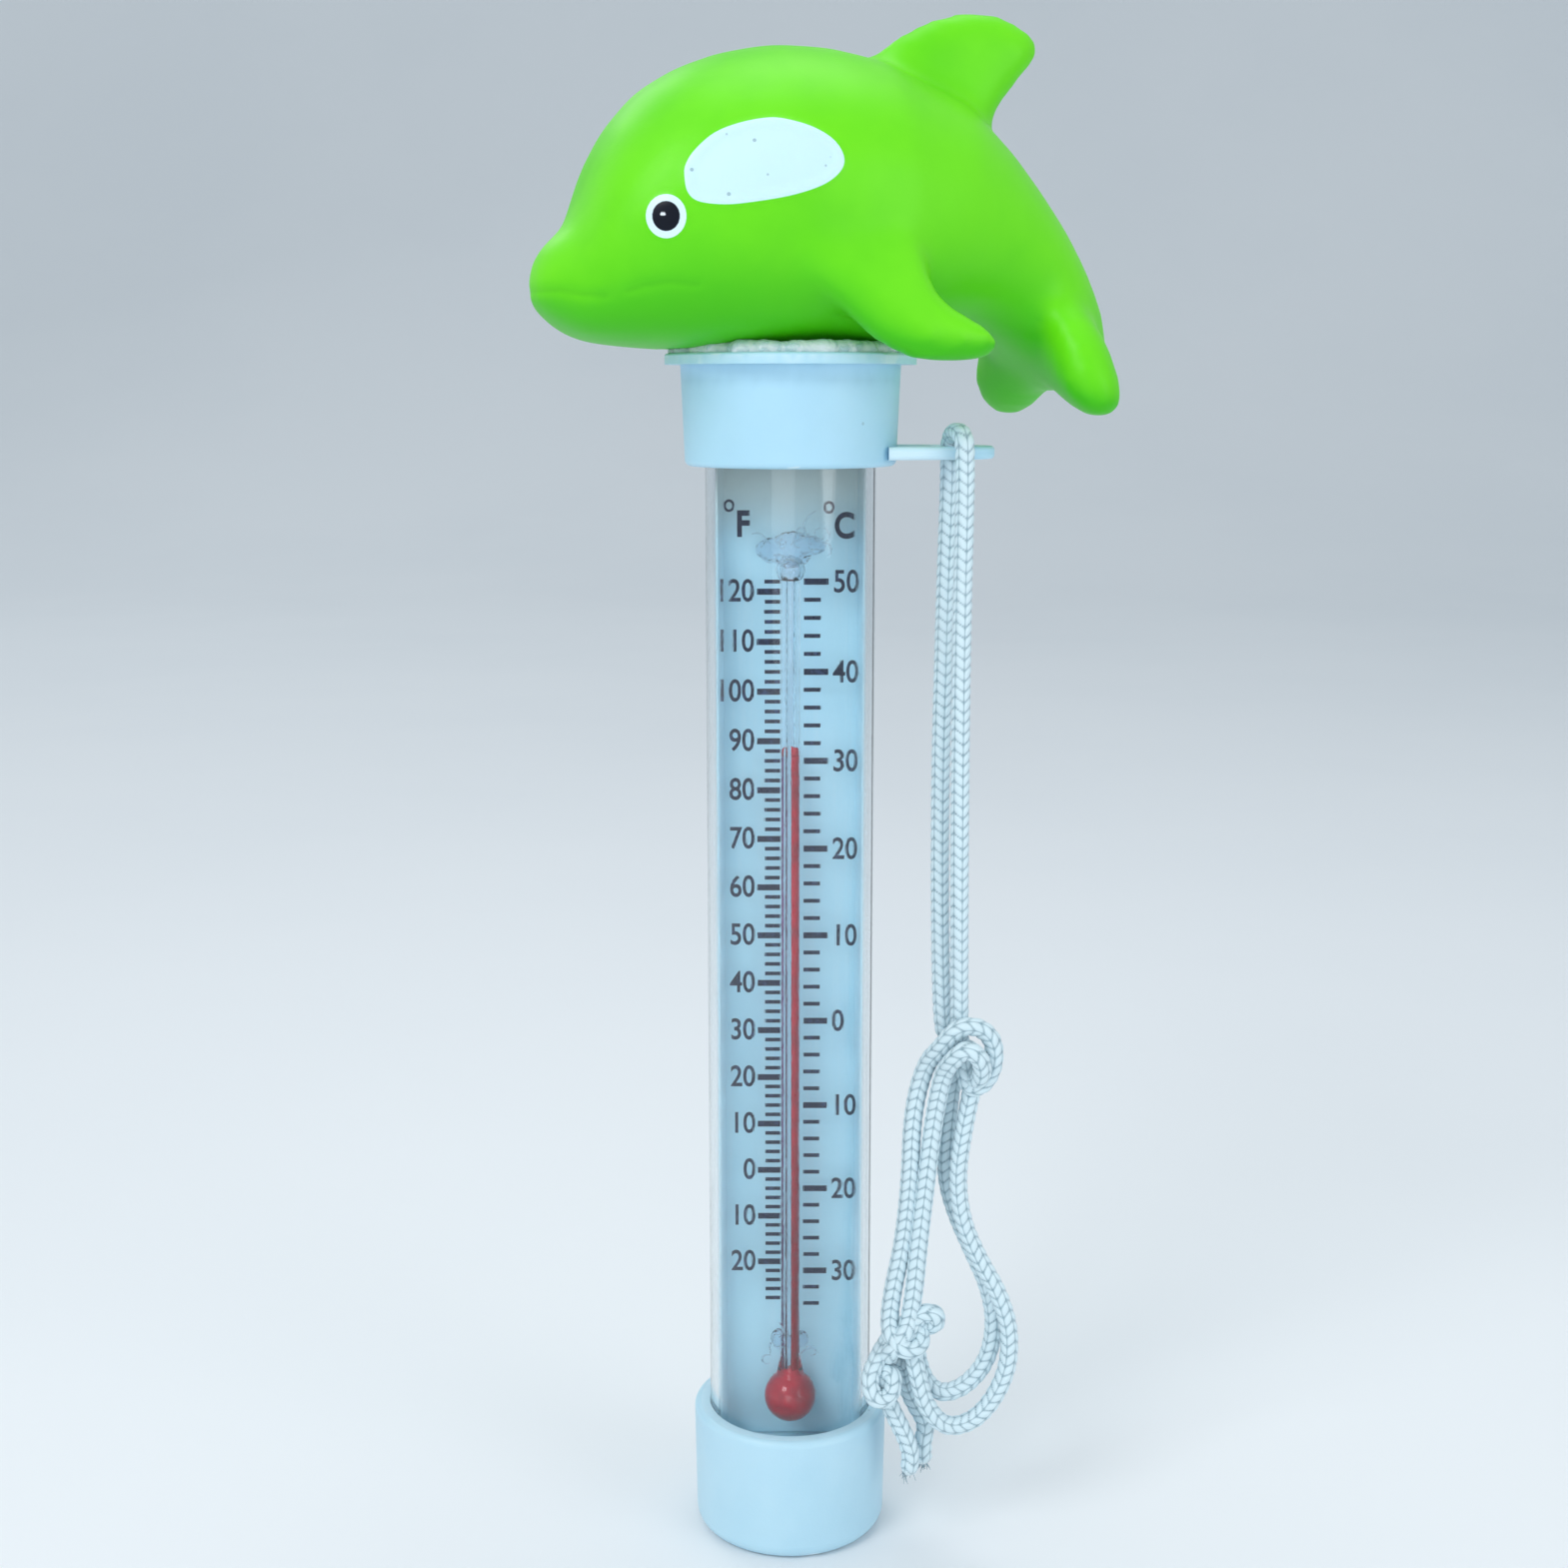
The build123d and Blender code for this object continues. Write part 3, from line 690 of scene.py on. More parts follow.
def markPaint(mesh):
    places = np.empty(len(mesh.vertices) * 3)
    mesh.vertices.foreach_get("co", places)
    places = places.reshape(-1, 3)
    turn = math.radians(dolphin["yaw"])
    along = (places[:, 0] * math.cos(turn) + places[:, 1] * math.sin(turn)) * 1000
    side = (places[:, 0] * math.sin(turn) - places[:, 1] * math.cos(turn)) * 1000
    height = (places[:, 2] - flangeTop) * 1000
    seen = np.stack([along, height], axis=1)
    onSide = np.where(np.abs(side) > 4, 0, 9)
    patch = outlineDistance(seen, patchOutline) + onSide
    eye = np.linalg.norm((seen - np.array(eyeCentre)) * (1.17, 1.0), axis=1) + onSide
    mouth = np.minimum(lineDistance(seen, np.array(mouthFront)), lineDistance(seen, np.array(mouthRear)))
    # The rim of the patch stands a little proud, and the belly is pressed flat where it sits on its glue
    rim = 0.00022 * np.exp(-((patch + 0.35) / 0.45) ** 2) - 0.0001 * np.clip(-patch, 0, 1)
    dome = 0.0002 * np.clip(1 - (eye / 2.4) ** 4, 0, 1)
    groove = -0.00009 * np.exp(-(mouth / 0.55) ** 2)
    normals = np.empty(len(mesh.vertices) * 3)
    mesh.vertices.foreach_get("normal", normals)
    places = places + normals.reshape(-1, 3) * (rim + dome + groove)[:, None]
    overFlange = np.hypot(places[:, 0], places[:, 1]) < dolphin["bellyFlat"] / 1000
    places[:, 2] = np.where(overFlange, np.maximum(places[:, 2], bellyLevel), places[:, 2])
    mesh.vertices.foreach_set("co", places.ravel())
    keepValues(mesh, "patchDistance", patch)
    keepValues(mesh, "eyeDistance", eye)
    keepValues(mesh, "mouthDistance", mouth)
    glint = np.linalg.norm(seen - np.array(eyeCentre) - np.array((-0.3, 0.25)), axis=1) + onSide
    keepValues(mesh, "glintDistance", glint)
    mesh.update()


def makeVinylMaterial():
    material, tree, shader, output = startMaterial("dolphinVinyl", {
        "Subsurface Weight": 0.12, "Subsurface Radius": (0.6, 1.0, 0.3), "Subsurface Scale": 0.002,
        "Specular IOR Level": 0.26, "IOR": 1.5})
    grain = placeGroup(tree, mouldedGrain, {
        "Colour": dolphin["green"], "Cloud Colour": dolphin["deepGreenCloudAndShade"], "Cloud Scale": 45.0,
        "Cloud Amount": 0.35,
        "Grain Scale": 2600.0, "Grain Height": 0.10, "Roughness": 0.42, "Roughness Spread": 0.12})
    # Painted shade: deeper green low down, where the surface also faces down, standing in for the shade under the
    # body
    place = objectPlace(tree)
    low = spread(tree, upPart(tree, place), 0.144, 0.164, 1.0, 0.0)
    facing = upPart(tree, addNode(tree, "ShaderNodeNewGeometry").outputs["Normal"])
    paintedUnderShade = sums(tree, "MULTIPLY", low, spread(tree, facing, -0.5, 0.3, 1.0, 0.0))
    green = blendColours(tree, paintedUnderShade, grain.outputs["Colour"], dolphin["deepGreenCloudAndShade"])
    patchMask = spread(tree, keptValue(tree, "patchDistance"), -0.06, 0.06, 1.0, 0.0)
    white = blendColours(tree, speckle(tree, place, 420.0, 0.07, 0.11, 0.6), dolphin["white"],
                         dolphin["speck"])
    colour = blendColours(tree, patchMask, green, white)
    eye = keptValue(tree, "eyeDistance")
    glint = keptValue(tree, "glintDistance")
    for distance, inner, outer, tone in ((eye, 2.24, 2.32, "eyeRing"), (eye, 1.5, 1.6, "pupil"),
                                         (glint, 0.2, 0.34, "glint")):
        colour = blendColours(tree, spread(tree, distance, inner, outer, 1.0, 0.0), colour, dolphin[tone])
    # Painted shade: a darker green along the mouth crease, where shade falls in the groove
    mouth = spread(tree, keptValue(tree, "mouthDistance"), 0.0, 0.5, 1.0, 0.0)
    colour = blendColours(tree, sums(tree, "MULTIPLY", mouth, 0.16), colour, dolphin["mouth"])
    glossy = sums(tree, "MAXIMUM", patchMask, spread(tree, eye, 2.4, 2.6, 1.0, 0.0))
    rough = sums(tree, "MULTIPLY_ADD", glossy, -0.12, grain.outputs["Roughness"])
    wireSurface(tree, shader, colour, rough, grain.outputs["Normal"])
    return material


def makeDolphin():
    mesh = remeshed(dolphinMesh(), dolphin["remeshSize"], dolphin["smoothing"])
    markPaint(mesh)
    smoothMesh(mesh)
    piece = addPiece("dolphinFloat", mesh, makeVinylMaterial(), "tube")
    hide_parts("float_shell")


makeDolphin()
print("dolphin made")


caps = {
    "capColour": paint(188, 223, 238),
    "capShade": paint(168, 210, 229),
    "collarColour": paint(178, 220, 240),
    "edgeHighlight": paint(226, 244, 252),
    "hollowShade": paint(120, 170, 190),
    "speck": paint(110, 140, 150),
}


def makeCapMaterial(name, colour):
    material, tree, shader, output = startMaterial(name, {
        "Subsurface Weight": 0.2, "Subsurface Radius": (0.7, 0.9, 1.0), "Subsurface Scale": 0.0015,
        "Specular IOR Level": 0.45, "IOR": 1.5})
    grain = placeGroup(tree, mouldedGrain, {
        "Colour": colour, "Cloud Colour": caps["capShade"], "Cloud Scale": 70.0, "Cloud Amount": 0.4,
        "Grain Scale": 2200.0, "Grain Height": 0.12, "Roughness": 0.4, "Roughness Spread": 0.16})
    # Painted light: a highlight painted on sharp edges and shade painted in hollows
    shade = placeGroup(tree, edgeShade, {
        "Colour": grain.outputs["Colour"], "Edge Colour": caps["edgeHighlight"], "Hollow Colour": caps["hollowShade"],
        "Edge Amount": 0.6, "Hollow Amount": 0.5})
    mark = speckle(tree, objectPlace(tree), 190.0, 0.02, 0.05, 0.35)
    colour = blendColours(tree, mark, shade.outputs["Colour"], caps["speck"])
    wireSurface(tree, shader, colour, grain.outputs["Roughness"], grain.outputs["Normal"])
    return material


def makePlainMoulded(name, colour, cloud, roughness, extra=None):
    material, tree, shader, output = startMaterial(name, extra or {})
    grain = placeGroup(tree, mouldedGrain, {
        "Colour": colour, "Cloud Colour": cloud, "Cloud Scale": 260.0, "Cloud Amount": 0.7,
        "Grain Scale": 5200.0, "Grain Height": 0.3, "Roughness": roughness, "Roughness Spread": 0.2})
    # Painted shade: darker in hollows, toward the cloud colour; the edge colour is the plain colour
    shade = placeGroup(tree, edgeShade, {
        "Colour": grain.outputs["Colour"], "Edge Colour": colour, "Hollow Colour": cloud,
        "Edge Amount": 0.4, "Hollow Amount": 0.6})
    wireSurface(tree, shader, shade.outputs["Colour"], grain.outputs["Roughness"], grain.outputs["Normal"])
    return material


def makeSteelMaterial():
    material, tree, shader, output = startMaterial("ballastSteel", {"Metallic": 0.9})
    lines = placeGroup(tree, fineScratches, {"Scale": 900.0, "Stretch": 8.0, "Amount": 0.7})
    colour = blendColours(tree, lines.outputs["Mask"], paint(128, 130, 134), paint(168, 170, 174))
    rough = spread(tree, lines.outputs["Mask"], 0.0, 0.7, 0.32, 0.5)
    wireSurface(tree, shader, colour, rough, lines.outputs["Normal"])
    return material


dressNode("bottom_cap", makeCapMaterial("capPlastic", caps["capColour"]))
dressNode("top_cap", makeCapMaterial("collarPlastic", caps["collarColour"]))
sealRubber = makePlainMoulded("sealRubber", paint(150, 158, 160), paint(112, 120, 124), 0.7)
dressNode("bottom_seal", sealRubber)
dressNode("top_seal", sealRubber)
dressNode("ballast_weight", makeSteelMaterial())
dressNode("ballast_glue", makePlainMoulded("pottingResin", paint(176, 206, 220), paint(148, 184, 200), 0.3,
                                           {"Subsurface Weight": 0.3, "Subsurface Scale": 0.002}))
dressNode("float_plug", makePlainMoulded("plugVinyl", paint(190, 224, 236), paint(160, 200, 214), 0.45))
print("caps and ballast dressed")


clear = {
    "tubeTint": paint(244, 250, 252),
    "stemTint": paint(246, 248, 252),
    "glueTint": paint(246, 248, 253),
    "haze": paint(206, 222, 230),
    "beadWhite": paint(228, 242, 246),
    "beadShade": paint(190, 220, 226),
    "shadedEdgeViolet": paint(150, 92, 140),
    "shadedEdgeDeep": paint(120, 70, 120),
    "spiritRed": paint(214, 10, 46),
    "spiritDeep": paint(176, 6, 40),
    "threadRadius": 0.00070,
    "bulbSwell": 0.00022,
}


def letLampsThrough(tree, shader, output, tint):
    # Lamps shine through clear pieces, so what is inside isn't left in the dark
    rays = addNode(tree, "ShaderNodeLightPath").outputs["Is Shadow Ray"]
    through = addNode(tree, "ShaderNodeBsdfTransparent", None, {"Color": tint})
    mixed = addNode(tree, "ShaderNodeMixShader", None, {0: rays, 1: shader.outputs[0], 2: through.outputs[0]})
    tree.links.new(mixed.outputs[0], output.inputs["Surface"])


def makeClearMaterial(name, tint, ior, roughness, scratchScale, scratchAmount, bumpScale=0.0,
                      bumpStrength=0.0):
    material, tree, shader, output = startMaterial(name, {
        "Transmission Weight": 1.0, "IOR": ior, "Metallic": 0.0, "Specular IOR Level": 0.08})
    hair = placeGroup(tree, fineScratches, {"Scale": scratchScale, "Stretch": 0.08, "Amount": scratchAmount})
    place = objectPlace(tree)
    haze = noiseField(tree, place, 110.0, 3.0)
    colour = blendColours(tree, sums(tree, "MULTIPLY", haze, 0.12), tint, clear["haze"])
    rough = spread(tree, haze, 0.45, 0.75, roughness, roughness + 0.05)
    rough = sums(tree, "MULTIPLY_ADD", hair.outputs["Mask"], 0.15, rough)
    normal = hair.outputs["Normal"]
    if bumpStrength:
        lumps = noiseField(tree, place, bumpScale, 3.0, {"Distortion": 1.6})
        normal = bumpFrom(tree, lumps, bumpStrength, 0.0006, {"Normal": normal})
    wireSurface(tree, shader, colour, rough, normal)
    letLampsThrough(tree, shader, output, tint)
    return material


def makeSpiritMaterial(name, bright, deep):
    material, tree, shader, output = startMaterial(name, {"Specular IOR Level": 0.05})
    swirl = noiseField(tree, objectPlace(tree), 420.0, 3.0, {"Distortion": 0.8})
    colour = blendColours(tree, spread(tree, swirl, 0.35, 0.7), bright, deep)
    wireSurface(tree, shader, colour, spread(tree, swirl, 0.3, 0.7, 0.18, 0.32))
    return material


glueMaterial = makeClearMaterial("clearGlue", clear["glueTint"], 1.2, 0.0, 500.0, 0.2, 620.0, 1.0)
spiritMaterial = makeSpiritMaterial("spirit", clear["spiritRed"], clear["spiritDeep"])
dressNode("clear_tube", makeClearMaterial("clearTube", clear["tubeTint"], 1.49, 0.0, 240.0, 0.12))
dressNode("glass_stem", makeClearMaterial("stemGlass", clear["stemTint"], 1.5, 0.0, 900.0, 0.1))
# A darker violet copy of the spirit, painted shade for the thin dark line at the bore's edge
shadedEdgeMaterial = makeSpiritMaterial("spiritShadedEdge", clear["shadedEdgeViolet"], clear["shadedEdgeDeep"])


def makeBeadMaterial():
    # Milky glue, clear enough to show what is behind it at its thin edges
    material, tree, shader, output = startMaterial("milkyGlue", {
        "Transmission Weight": 0.2, "IOR": 1.4, "Specular IOR Level": 0.6, "Subsurface Weight": 0.2,
        "Subsurface Radius": (1, 1, 1), "Subsurface Scale": 0.001, "Metallic": 0.0})
    strings = noiseField(tree, objectPlace(tree), 380.0, 5.0, {"Distortion": 2.2})
    colour = blendColours(tree, spread(tree, strings, 0.4, 0.65), clear["beadWhite"], clear["beadShade"])
    rough = spread(tree, strings, 0.3, 0.7, 0.12, 0.3)
    wireSurface(tree, shader, colour, rough, bumpFrom(tree, strings, 0.8, 0.0004))
    return material


beadMaterial = makeBeadMaterial()


def threadMesh(name, levels):
    # The bore lights up as a red strip at one side, a thin dark line of painted shade at the other and the card
    # between
    low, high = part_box("spirit_column")
    centre, radius = (low + high) / 2, clear["threadRadius"]
    build = bmesh.new()
    for left, right, slotIndex in ((0.2, 1.0, 0), (-1.0, -0.92, 1)):
        fromTurn, toTurn = math.acos(right), math.acos(left)
        side = [fromTurn + (toTurn - fromTurn) * step / 10 for step in range(11)]
        profile = [(math.cos(turn), math.sin(turn)) for turn in side]
        profile += [(x, -y) for x, y in reversed(profile) if y > 1e-6]
        profile = list(dict.fromkeys((round(x, 5), round(y, 5)) for x, y in profile))
        rings = [[Vector((centre.x + radius * size * x, centre.y + radius * size * y, level)) for x,
                  y in profile]
                 for level, size in levels]
        before = len(build.faces)
        skinRings(build, rings)
        build.faces.ensure_lookup_table()
        for face in build.faces[before:]:
            face.material_index = slotIndex
    mesh = finishMesh(build, name, smooth=False)
    for face in mesh.polygons:
        face.use_smooth = len(face.vertices) == 4
    mesh.materials.append(spiritMaterial)
    mesh.materials.append(shadedEdgeMaterial)
    return mesh


def makeSpiritTip():
    low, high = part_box("spirit_top")
    rise = high.z - low.z
    mesh = threadMesh("spiritTip", [(low.z + rise * part, size) for part, size in (
        (0.0, 1.0), (0.45, 0.99), (0.7, 0.93), (0.85, 0.8), (0.95, 0.55), (1.0, 0.25))])
    piece = addPiece("spiritTip", mesh, spiritMaterial, "spirit_level")
    mesh.materials.append(shadedEdgeMaterial)
    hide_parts("spirit_top")


def makeSpiritColumn():
    # Two rings only, so that it stays straight as the level moves
    low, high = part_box("spirit_column")
    mesh = threadMesh("spiritThread", [(low.z, 1.0), (high.z, 1.0)])
    made = bpy.data.objects.new("spiritThread", mesh)
    scene.collection.objects.link(made)
    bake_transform(made)
    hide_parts("spirit_column")


def makeBulbSpirit():
    # Wets the glass all round, so the bulb looks full from every side, and runs up into the neck
    low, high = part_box("bulb_spirit")
    ball = (high.x - low.x) / 2
    swollen = ball + clear["bulbSwell"]
    middle = (low + high) / 2
    rise = low.z + ball
    build = bmesh.new()
    rings = []
    for step in range(41):
        turn = math.pi * (0.01 + 0.94 * step / 40)
        rings.append((swollen * math.sin(turn), rise - swollen * math.cos(turn)))
    neck = clear["threadRadius"]
    rings = [ring for ring in rings if ring[1] < rise or ring[0] > neck]
    rings += [(neck * 1.05, rings[-1][1] + 0.0004), (neck, max(high.z, rings[-1][1] + 0.0008))]
    skins = []
    for reach, level in rings:
        skins.append([Vector((middle.x + reach * math.cos(math.tau * side / 48) * (1 + 0.01 * math.sin(3 * side)),
                              middle.y + reach * math.sin(math.tau * side / 48),
                              level)) for side in range(48)])
    skinRings(build, skins)
    piece = addPiece("bulbSpirit", finishMesh(build, "bulbSpirit"), spiritMaterial, "tube")
    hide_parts("bulb_spirit")


def makeGlueBlob(name, node, lumps, seed, strings):
    # Overlapping drops run together into one lump that stays in the glue's own space
    low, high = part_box(node)
    build = bmesh.new()
    random.seed(seed)
    for centre, size in lumps:
        place = Vector([low[axis] + (high[axis] - low[axis]) * centre[axis] for axis in range(3)])
        made = bmesh.ops.create_icosphere(build, subdivisions=4, radius=1.0)["verts"]
        for vertex in made:
            ripple = 1 + 0.1 * noise.noise(vertex.co * 2.1 + Vector((seed, place.x * 900, 0)))
            vertex.co = Vector([vertex.co[axis] * size[axis] * ripple for axis in range(3)]) + place
    mesh = remeshed(finishMesh(build, name, False, False), 0.00022, 3)
    for vertex in mesh.vertices:
        for axis in range(3):
            vertex.co[axis] = min(max(vertex.co[axis], low[axis] - 0.0008), high[axis] + 0.0008)
        vertex.co.y = min(vertex.co.y, high.y)
    # White strings pulled out of the glue as it set; their white also stands in for the highlights on the bumpy
    # glue, a painted highlight
    build = bmesh.new()
    build.from_mesh(mesh)
    lumpFaces = len(build.faces)
    for string in range(strings):
        spot = Vector((random.uniform(low.x, high.x), low.y - 0.0002, random.uniform(low.z, high.z)))
        heading, turnRate = random.uniform(0, math.tau), random.uniform(-0.5, 0.5)
        rings = []
        for step in range(12):
            heading += turnRate + random.uniform(-0.35, 0.35)
            stride = Vector((math.cos(heading), 0, math.sin(heading)))
            across = Vector((-stride.z, 0, stride.x))
            thick = 0.00009 * math.sin(math.pi * (step + 1) / 13) + 0.00002
            rings.append([spot + across * (thick * math.cos(math.tau * side / 6))
                          + Vector((0, thick * math.sin(math.tau * side / 6), 0)) for side in range(6)])
            spot = spot + stride * 0.00024
        skinRings(build, rings)
    build.faces.ensure_lookup_table()
    for face in build.faces[lumpFaces:]:
        face.material_index = 1
    build.to_mesh(mesh)
    build.free()
    smoothMesh(mesh)
    piece = addPiece(name, mesh, glueMaterial, "tube")
    mesh.materials.append(beadMaterial)
    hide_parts(node)


def makeBellyGlue():
    # An uneven bead squeezed out between the belly and the flange, with strings pulled from it
    low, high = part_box("belly_glue")
    outer = (high.x - low.x) / 2
    middle = (low.z + high.z) / 2
    build = bmesh.new()
    steps, section = 260, 14
    made = []
    for step in range(steps):
        turn = 2 * math.pi * step / steps
        spot = Vector((math.cos(turn) * 3, math.sin(turn) * 3, 0))
        wave = noise.noise(spot * 1.7) * 0.0007 + noise.noise(spot * 6.5) * 0.00025
        ring = []
        for corner in range(section):
            around = 2 * math.pi * corner / section
            reach = outer - 0.0005 + (0.0016 + wave) * math.cos(around)
            level = middle + (0.0011 + wave * 0.5) * math.sin(around)
            ring.append(build.verts.new((reach * math.cos(turn), reach * math.sin(turn), level)))
        made.append(ring)
    for index, ring in enumerate(made):
        after = made[(index + 1) % steps]
        for corner in range(section):
            build.faces.new((ring[corner], after[corner], after[(corner + 1) % section],
                             ring[(corner + 1) % section]))
    piece = addPiece("bellyBead", finishMesh(build, "bellyBead"), beadMaterial, "tube")
    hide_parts("belly_glue")


makeSpiritColumn()
makeSpiritTip()
makeBulbSpirit()
makeGlueBlob("topGlueDab", "top_glue", [((0.5, 0.8, 0.3), (0.0026, 0.0009, 0.0022)),
                                        ((0.25, 0.9, 0.3), (0.0020, 0.0006, 0.0014)),
                                        ((0.75, 0.9, 0.4), (0.0022, 0.0006, 0.0012))], 3, 16)
makeGlueBlob("bottomGlueDab", "bottom_glue", [((0.22, 0.85, 0.3), (0.0011, 0.0005, 0.0013)),
                                              ((0.78, 0.85, 0.26), (0.0010, 0.0005, 0.0012)),
                                              ((0.5, 0.9, 0.2), (0.0014, 0.0004, 0.0009))], 8, 6)
makeBellyGlue()
print("tube, glass and glue made")


scaleCard = {
    "cardColour": paint(190, 228, 243),
    "cardShade": paint(180, 220, 238),
    "cardTop": paint(214, 220, 212),
    "reflectionStreak": paint(206, 230, 242),
    "ink": paint(8, 14, 46),
    "thinInk": paint(58, 72, 110),
    "degreePitch": 0.00107,
    "fiftyLevel": 0.11828,
    "leftTicks": (-0.00306, -0.00122),
    "rightTicks": (0.00158, 0.00357),
    "smallTick": 0.00048,
    "majorTick": 0.00074,
    "majorLonger": 0.0009,
    "numeralHeight": 0.00268,
    "numeralStroke": 0.00005,
    "rightNumerals": 0.0050,
    "leftNumerals": -0.00425,
    "proud": 0.00002,
}


def makeCardMaterial():
    material, tree, shader, output = startMaterial("cardFace", {"Specular IOR Level": 0.4})
    grain = placeGroup(tree, mouldedGrain, {
        "Colour": scaleCard["cardColour"], "Cloud Colour": scaleCard["cardShade"], "Cloud Scale": 55.0,
        "Cloud Amount": 0.6, "Grain Scale": 6000.0, "Grain Height": 0.2, "Roughness": 0.5,
        "Roughness Spread": 0.15})
    # Painted reflections: lighter vertical streaks down the card, where the tube's reflections fall
    reflectionStreaks = placeGroup(tree, fineScratches, {"Scale": 160.0, "Stretch": 0.02, "Amount": 0.25})
    colour = blendColours(tree, reflectionStreaks.outputs["Mask"], grain.outputs["Colour"], scaleCard["reflectionStreak"])
    # The top of the card, in the collar's shade, is greyer
    rise = upPart(tree, objectPlace(tree))
    colour = blendColours(tree, spread(tree, rise, 0.121, 0.131, 0.0, 0.75), colour, scaleCard["cardTop"])
    wireSurface(tree, shader, colour, grain.outputs["Roughness"], grain.outputs["Normal"])
    return material


def makeInkMaterial():
    material, tree, shader, output = startMaterial("scaleInk", {"Specular IOR Level": 0.15})
    thin = noiseField(tree, objectPlace(tree), 1500.0, 4.0)
    colour = blendColours(tree, spread(tree, thin, 0.5, 0.8), scaleCard["ink"], scaleCard["thinInk"])
    wireSurface(tree, shader, colour, spread(tree, thin, 0.3, 0.7, 0.4, 0.6))
    return material


def celsiusLevel(degrees):
    return scaleCard["fiftyLevel"] - (50 - degrees) * scaleCard["degreePitch"]


def fahrenheitLevel(degrees):
    return celsiusLevel((degrees - 32) / 1.8)


def addTick(build, start, end, level, thickness, y):
    corners = [(start, level - thickness / 2), (end, level - thickness / 2),
               (end, level + thickness / 2), (start, level + thickness / 2)]
    front = [build.verts.new((x, y - scaleCard["proud"], z)) for x, z in corners]
    back = [build.verts.new((x, y - 0.000002, z)) for x, z in corners]
    build.faces.new(front)
    for index in range(4):
        after = (index + 1) % 4
        build.faces.new((front[after], front[index], back[index], back[after]))


def makeTicks(ink, y):
    build = bmesh.new()
    # Each scale's range, its level, where its ticks start and which way the long ones grow
    scales = ((range(-34, 51, 2), celsiusLevel, scaleCard["rightTicks"], 0, 1, 1.0),
              (range(-28, 123, 2), fahrenheitLevel, scaleCard["leftTicks"], -1, 0, 0.95))
    for span, levelOf, (start, end), growLeft, growRight, share in scales:
        for degrees in span:
            major = degrees % 10 == 0
            longer = scaleCard["majorLonger"] if major else 0
            thickness = scaleCard["majorTick"] if major else scaleCard["smallTick"] * share
            addTick(build, start + growLeft * longer, end + growRight * longer, levelOf(degrees),
                    thickness, y)
    addPiece("scaleTicks", finishMesh(build, "scaleTicks", smooth=False), ink, "tube")


def letterMesh(text, height, x, z, y, align, bold, narrow=0.83):
    curve = bpy.data.curves.new("letters", "FONT")
    curve.body = text
    curve.size = height / 0.72
    curve.align_x = align
    curve.align_y = "CENTER"
    curve.offset = bold
    curve.extrude = scaleCard["proud"] / 2
    holder = bpy.data.objects.new("letters", curve)
    scene.collection.objects.link(holder)
    bpy.context.view_layer.update()
    mesh = bpy.data.meshes.new_from_object(holder)
    bpy.data.objects.remove(holder)
    for vertex in mesh.vertices:
        flatX, flatY, out = vertex.co
        vertex.co = (x + flatX * narrow, y - scaleCard["proud"] / 2 - out, z + flatY)
    return mesh


def makeNumerals(ink, y):
    build = bmesh.new()
    tall = scaleCard["numeralHeight"]
    stroke = scaleCard["numeralStroke"]
    # text, height, x, z, alignment, how much bolder than the plain face
    labels = [(str(abs(degrees)), tall, scaleCard["rightNumerals"], celsiusLevel(degrees) - 0.0001, "LEFT",
               stroke)
              for degrees in range(-30, 51, 10)]
    labels += [(str(abs(degrees)), tall, scaleCard["leftNumerals"], fahrenheitLevel(degrees), "RIGHT", stroke)
               for degrees in range(-20, 121, 10)]
    labels += [("F", 0.0030, -0.0064, 0.1249, "LEFT", 0.00014),
               ("C", 0.0030, 0.0051, 0.1247, "LEFT", 0.00012),
               ("o", 0.0022, -0.0079, 0.1274, "LEFT", 0.00003),
               ("o", 0.0022, 0.0038, 0.1272, "LEFT", 0.00003)]
    for text, height, x, z, align, bold in labels:
        letters = letterMesh(text, height, x, z, y, align, bold)
        build.from_mesh(letters)
        bpy.data.meshes.remove(letters)
    addPiece("scaleNumerals", finishMesh(build, "scaleNumerals", False, False), ink, "tube")


def makeScale():
    dressNode("scale_card", makeCardMaterial())
    ink = makeInkMaterial()
    # The front of the card's side lips, which stand forward of its face
    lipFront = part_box("scale_card")[0].y
    makeTicks(ink, lipFront)
    makeNumerals(ink, lipFront)


makeScale()
print("scale printed")


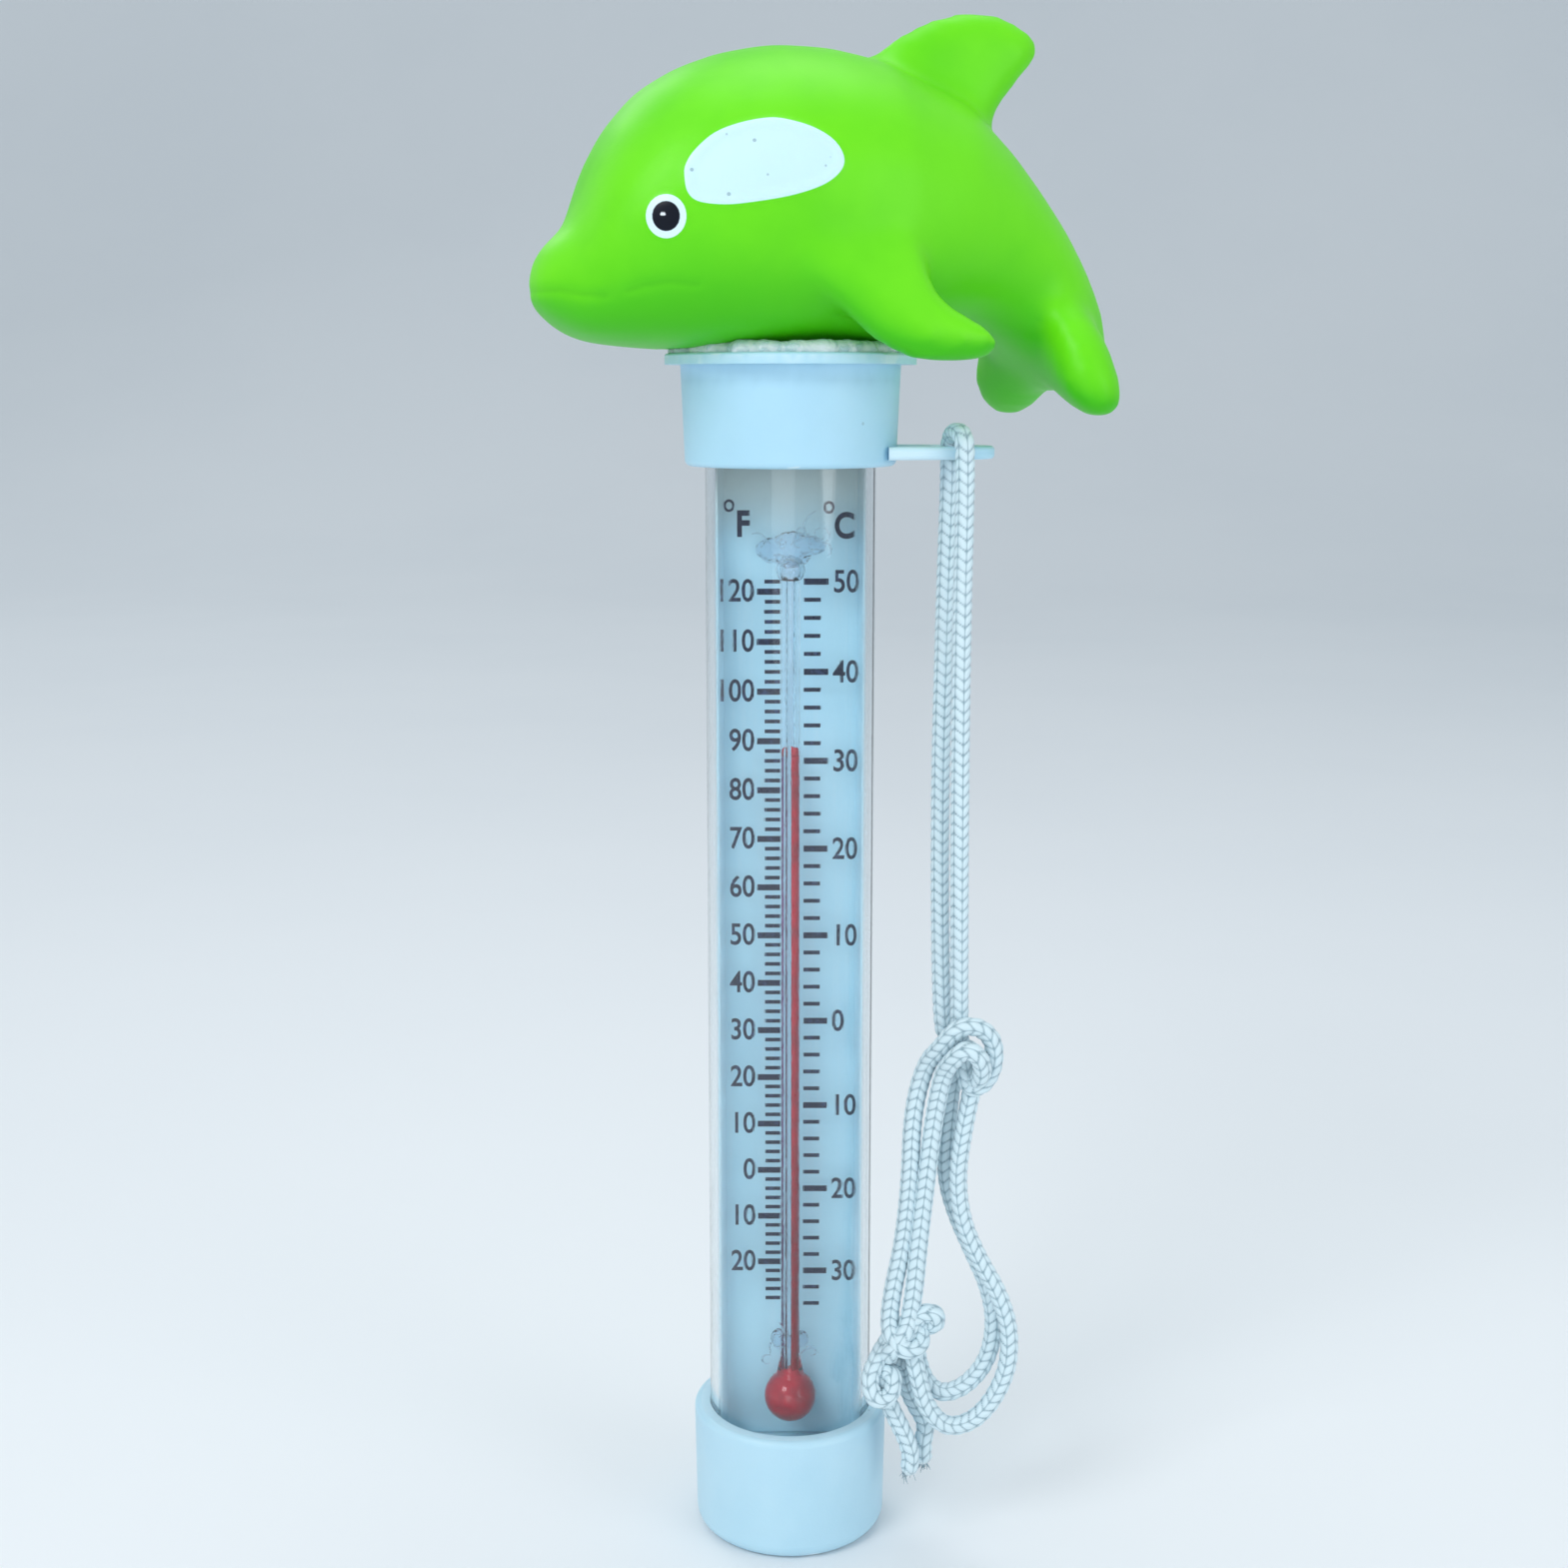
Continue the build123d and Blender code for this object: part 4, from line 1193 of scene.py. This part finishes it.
studio = {
    "floorFront": 2.4,
    "floorFlat": 1.1,
    "floorBend": 0.9,
    "floorSide": 2.6,
    "wallHeight": 2.6,
    "floorCloud": paint(232, 236, 239),
    "floorColour": paint(238, 241, 243),
    "skyColour": paint(226, 236, 244),
    "skyStrength": 0.70,
    "lamps": [
        # name, place, aimed at, size, power
        ("keyLamp", (-0.35, -0.42, 0.55), (0, 0, 0.10), 0.34, 1.6),
        ("fillLamp", (0.50, -0.38, 0.26), (0, 0, 0.09), 0.40, 0.72),
        ("topLamp", (0.05, 0.10, 0.62), (0, 0, 0.15), 0.36, 0.6),
        ("lowLamp", (-0.15, -0.80, 0.14), (0, 0, 0.12), 0.50, 1.1),
        ("backLamp", (-0.60, 1.00, 1.00), (0, 0, 0.10), 0.60, 2.0),
    ],
}


def makeFloor():
    # A flat floor that curves up behind the object
    build = bmesh.new()
    flat, bend, side = studio["floorFlat"], studio["floorBend"], studio["floorSide"]
    profile = [(-studio["floorFront"], 0.0), (flat, 0.0)]
    for step in range(1, 19):
        turn = math.radians(90 * step / 18)
        profile.append((flat + bend * math.sin(turn), bend * (1 - math.cos(turn))))
    profile.append((flat + bend, studio["wallHeight"]))
    rows = [[build.verts.new((x, y, z)) for x in (-side, side)] for y, z in profile]
    for low, high in zip(rows, rows[1:]):
        build.faces.new((low[0], low[1], high[1], high[0]))
    mesh = finishMesh(build, "studioFloor", outward=False)
    material, tree, shader, output = startMaterial("floorPaint", {"Specular IOR Level": 0.2})
    grain = placeGroup(tree, mouldedGrain, {
        "Colour": studio["floorColour"], "Cloud Colour": studio["floorCloud"], "Cloud Scale": 3.0,
        "Cloud Amount": 0.5, "Grain Scale": 900.0, "Grain Height": 0.05, "Roughness": 0.75,
        "Roughness Spread": 0.1})
    wireSurface(tree, shader, grain.outputs["Colour"], grain.outputs["Roughness"], grain.outputs["Normal"])
    mesh.materials.append(material)
    made = bpy.data.objects.new("studioFloor", mesh)
    scene.collection.objects.link(made)


def makeLamps():
    for name, place, aim, size, power in studio["lamps"]:
        data = bpy.data.lights.new(name, "AREA")
        data.shape = "DISK"
        data.size = size
        data.energy = power
        made = bpy.data.objects.new(name, data)
        made.location = place
        made.rotation_euler = (Vector(aim) - Vector(place)).to_track_quat("-Z", "Y").to_euler()
        # The low lamp only lifts the shade, so it leaves no glare on the tube
        made.visible_glossy = name != "lowLamp"
        scene.collection.objects.link(made)


def makeSky():
    world = bpy.data.worlds.new("softSky")
    world.use_nodes = True
    background = world.node_tree.nodes["Background"]
    background.inputs["Color"].default_value = studio["skyColour"]
    background.inputs["Strength"].default_value = studio["skyStrength"]
    scene.world = world


makeFloor()
makeLamps()
makeSky()
scene.view_settings.view_transform = "Standard"
print("studio set")
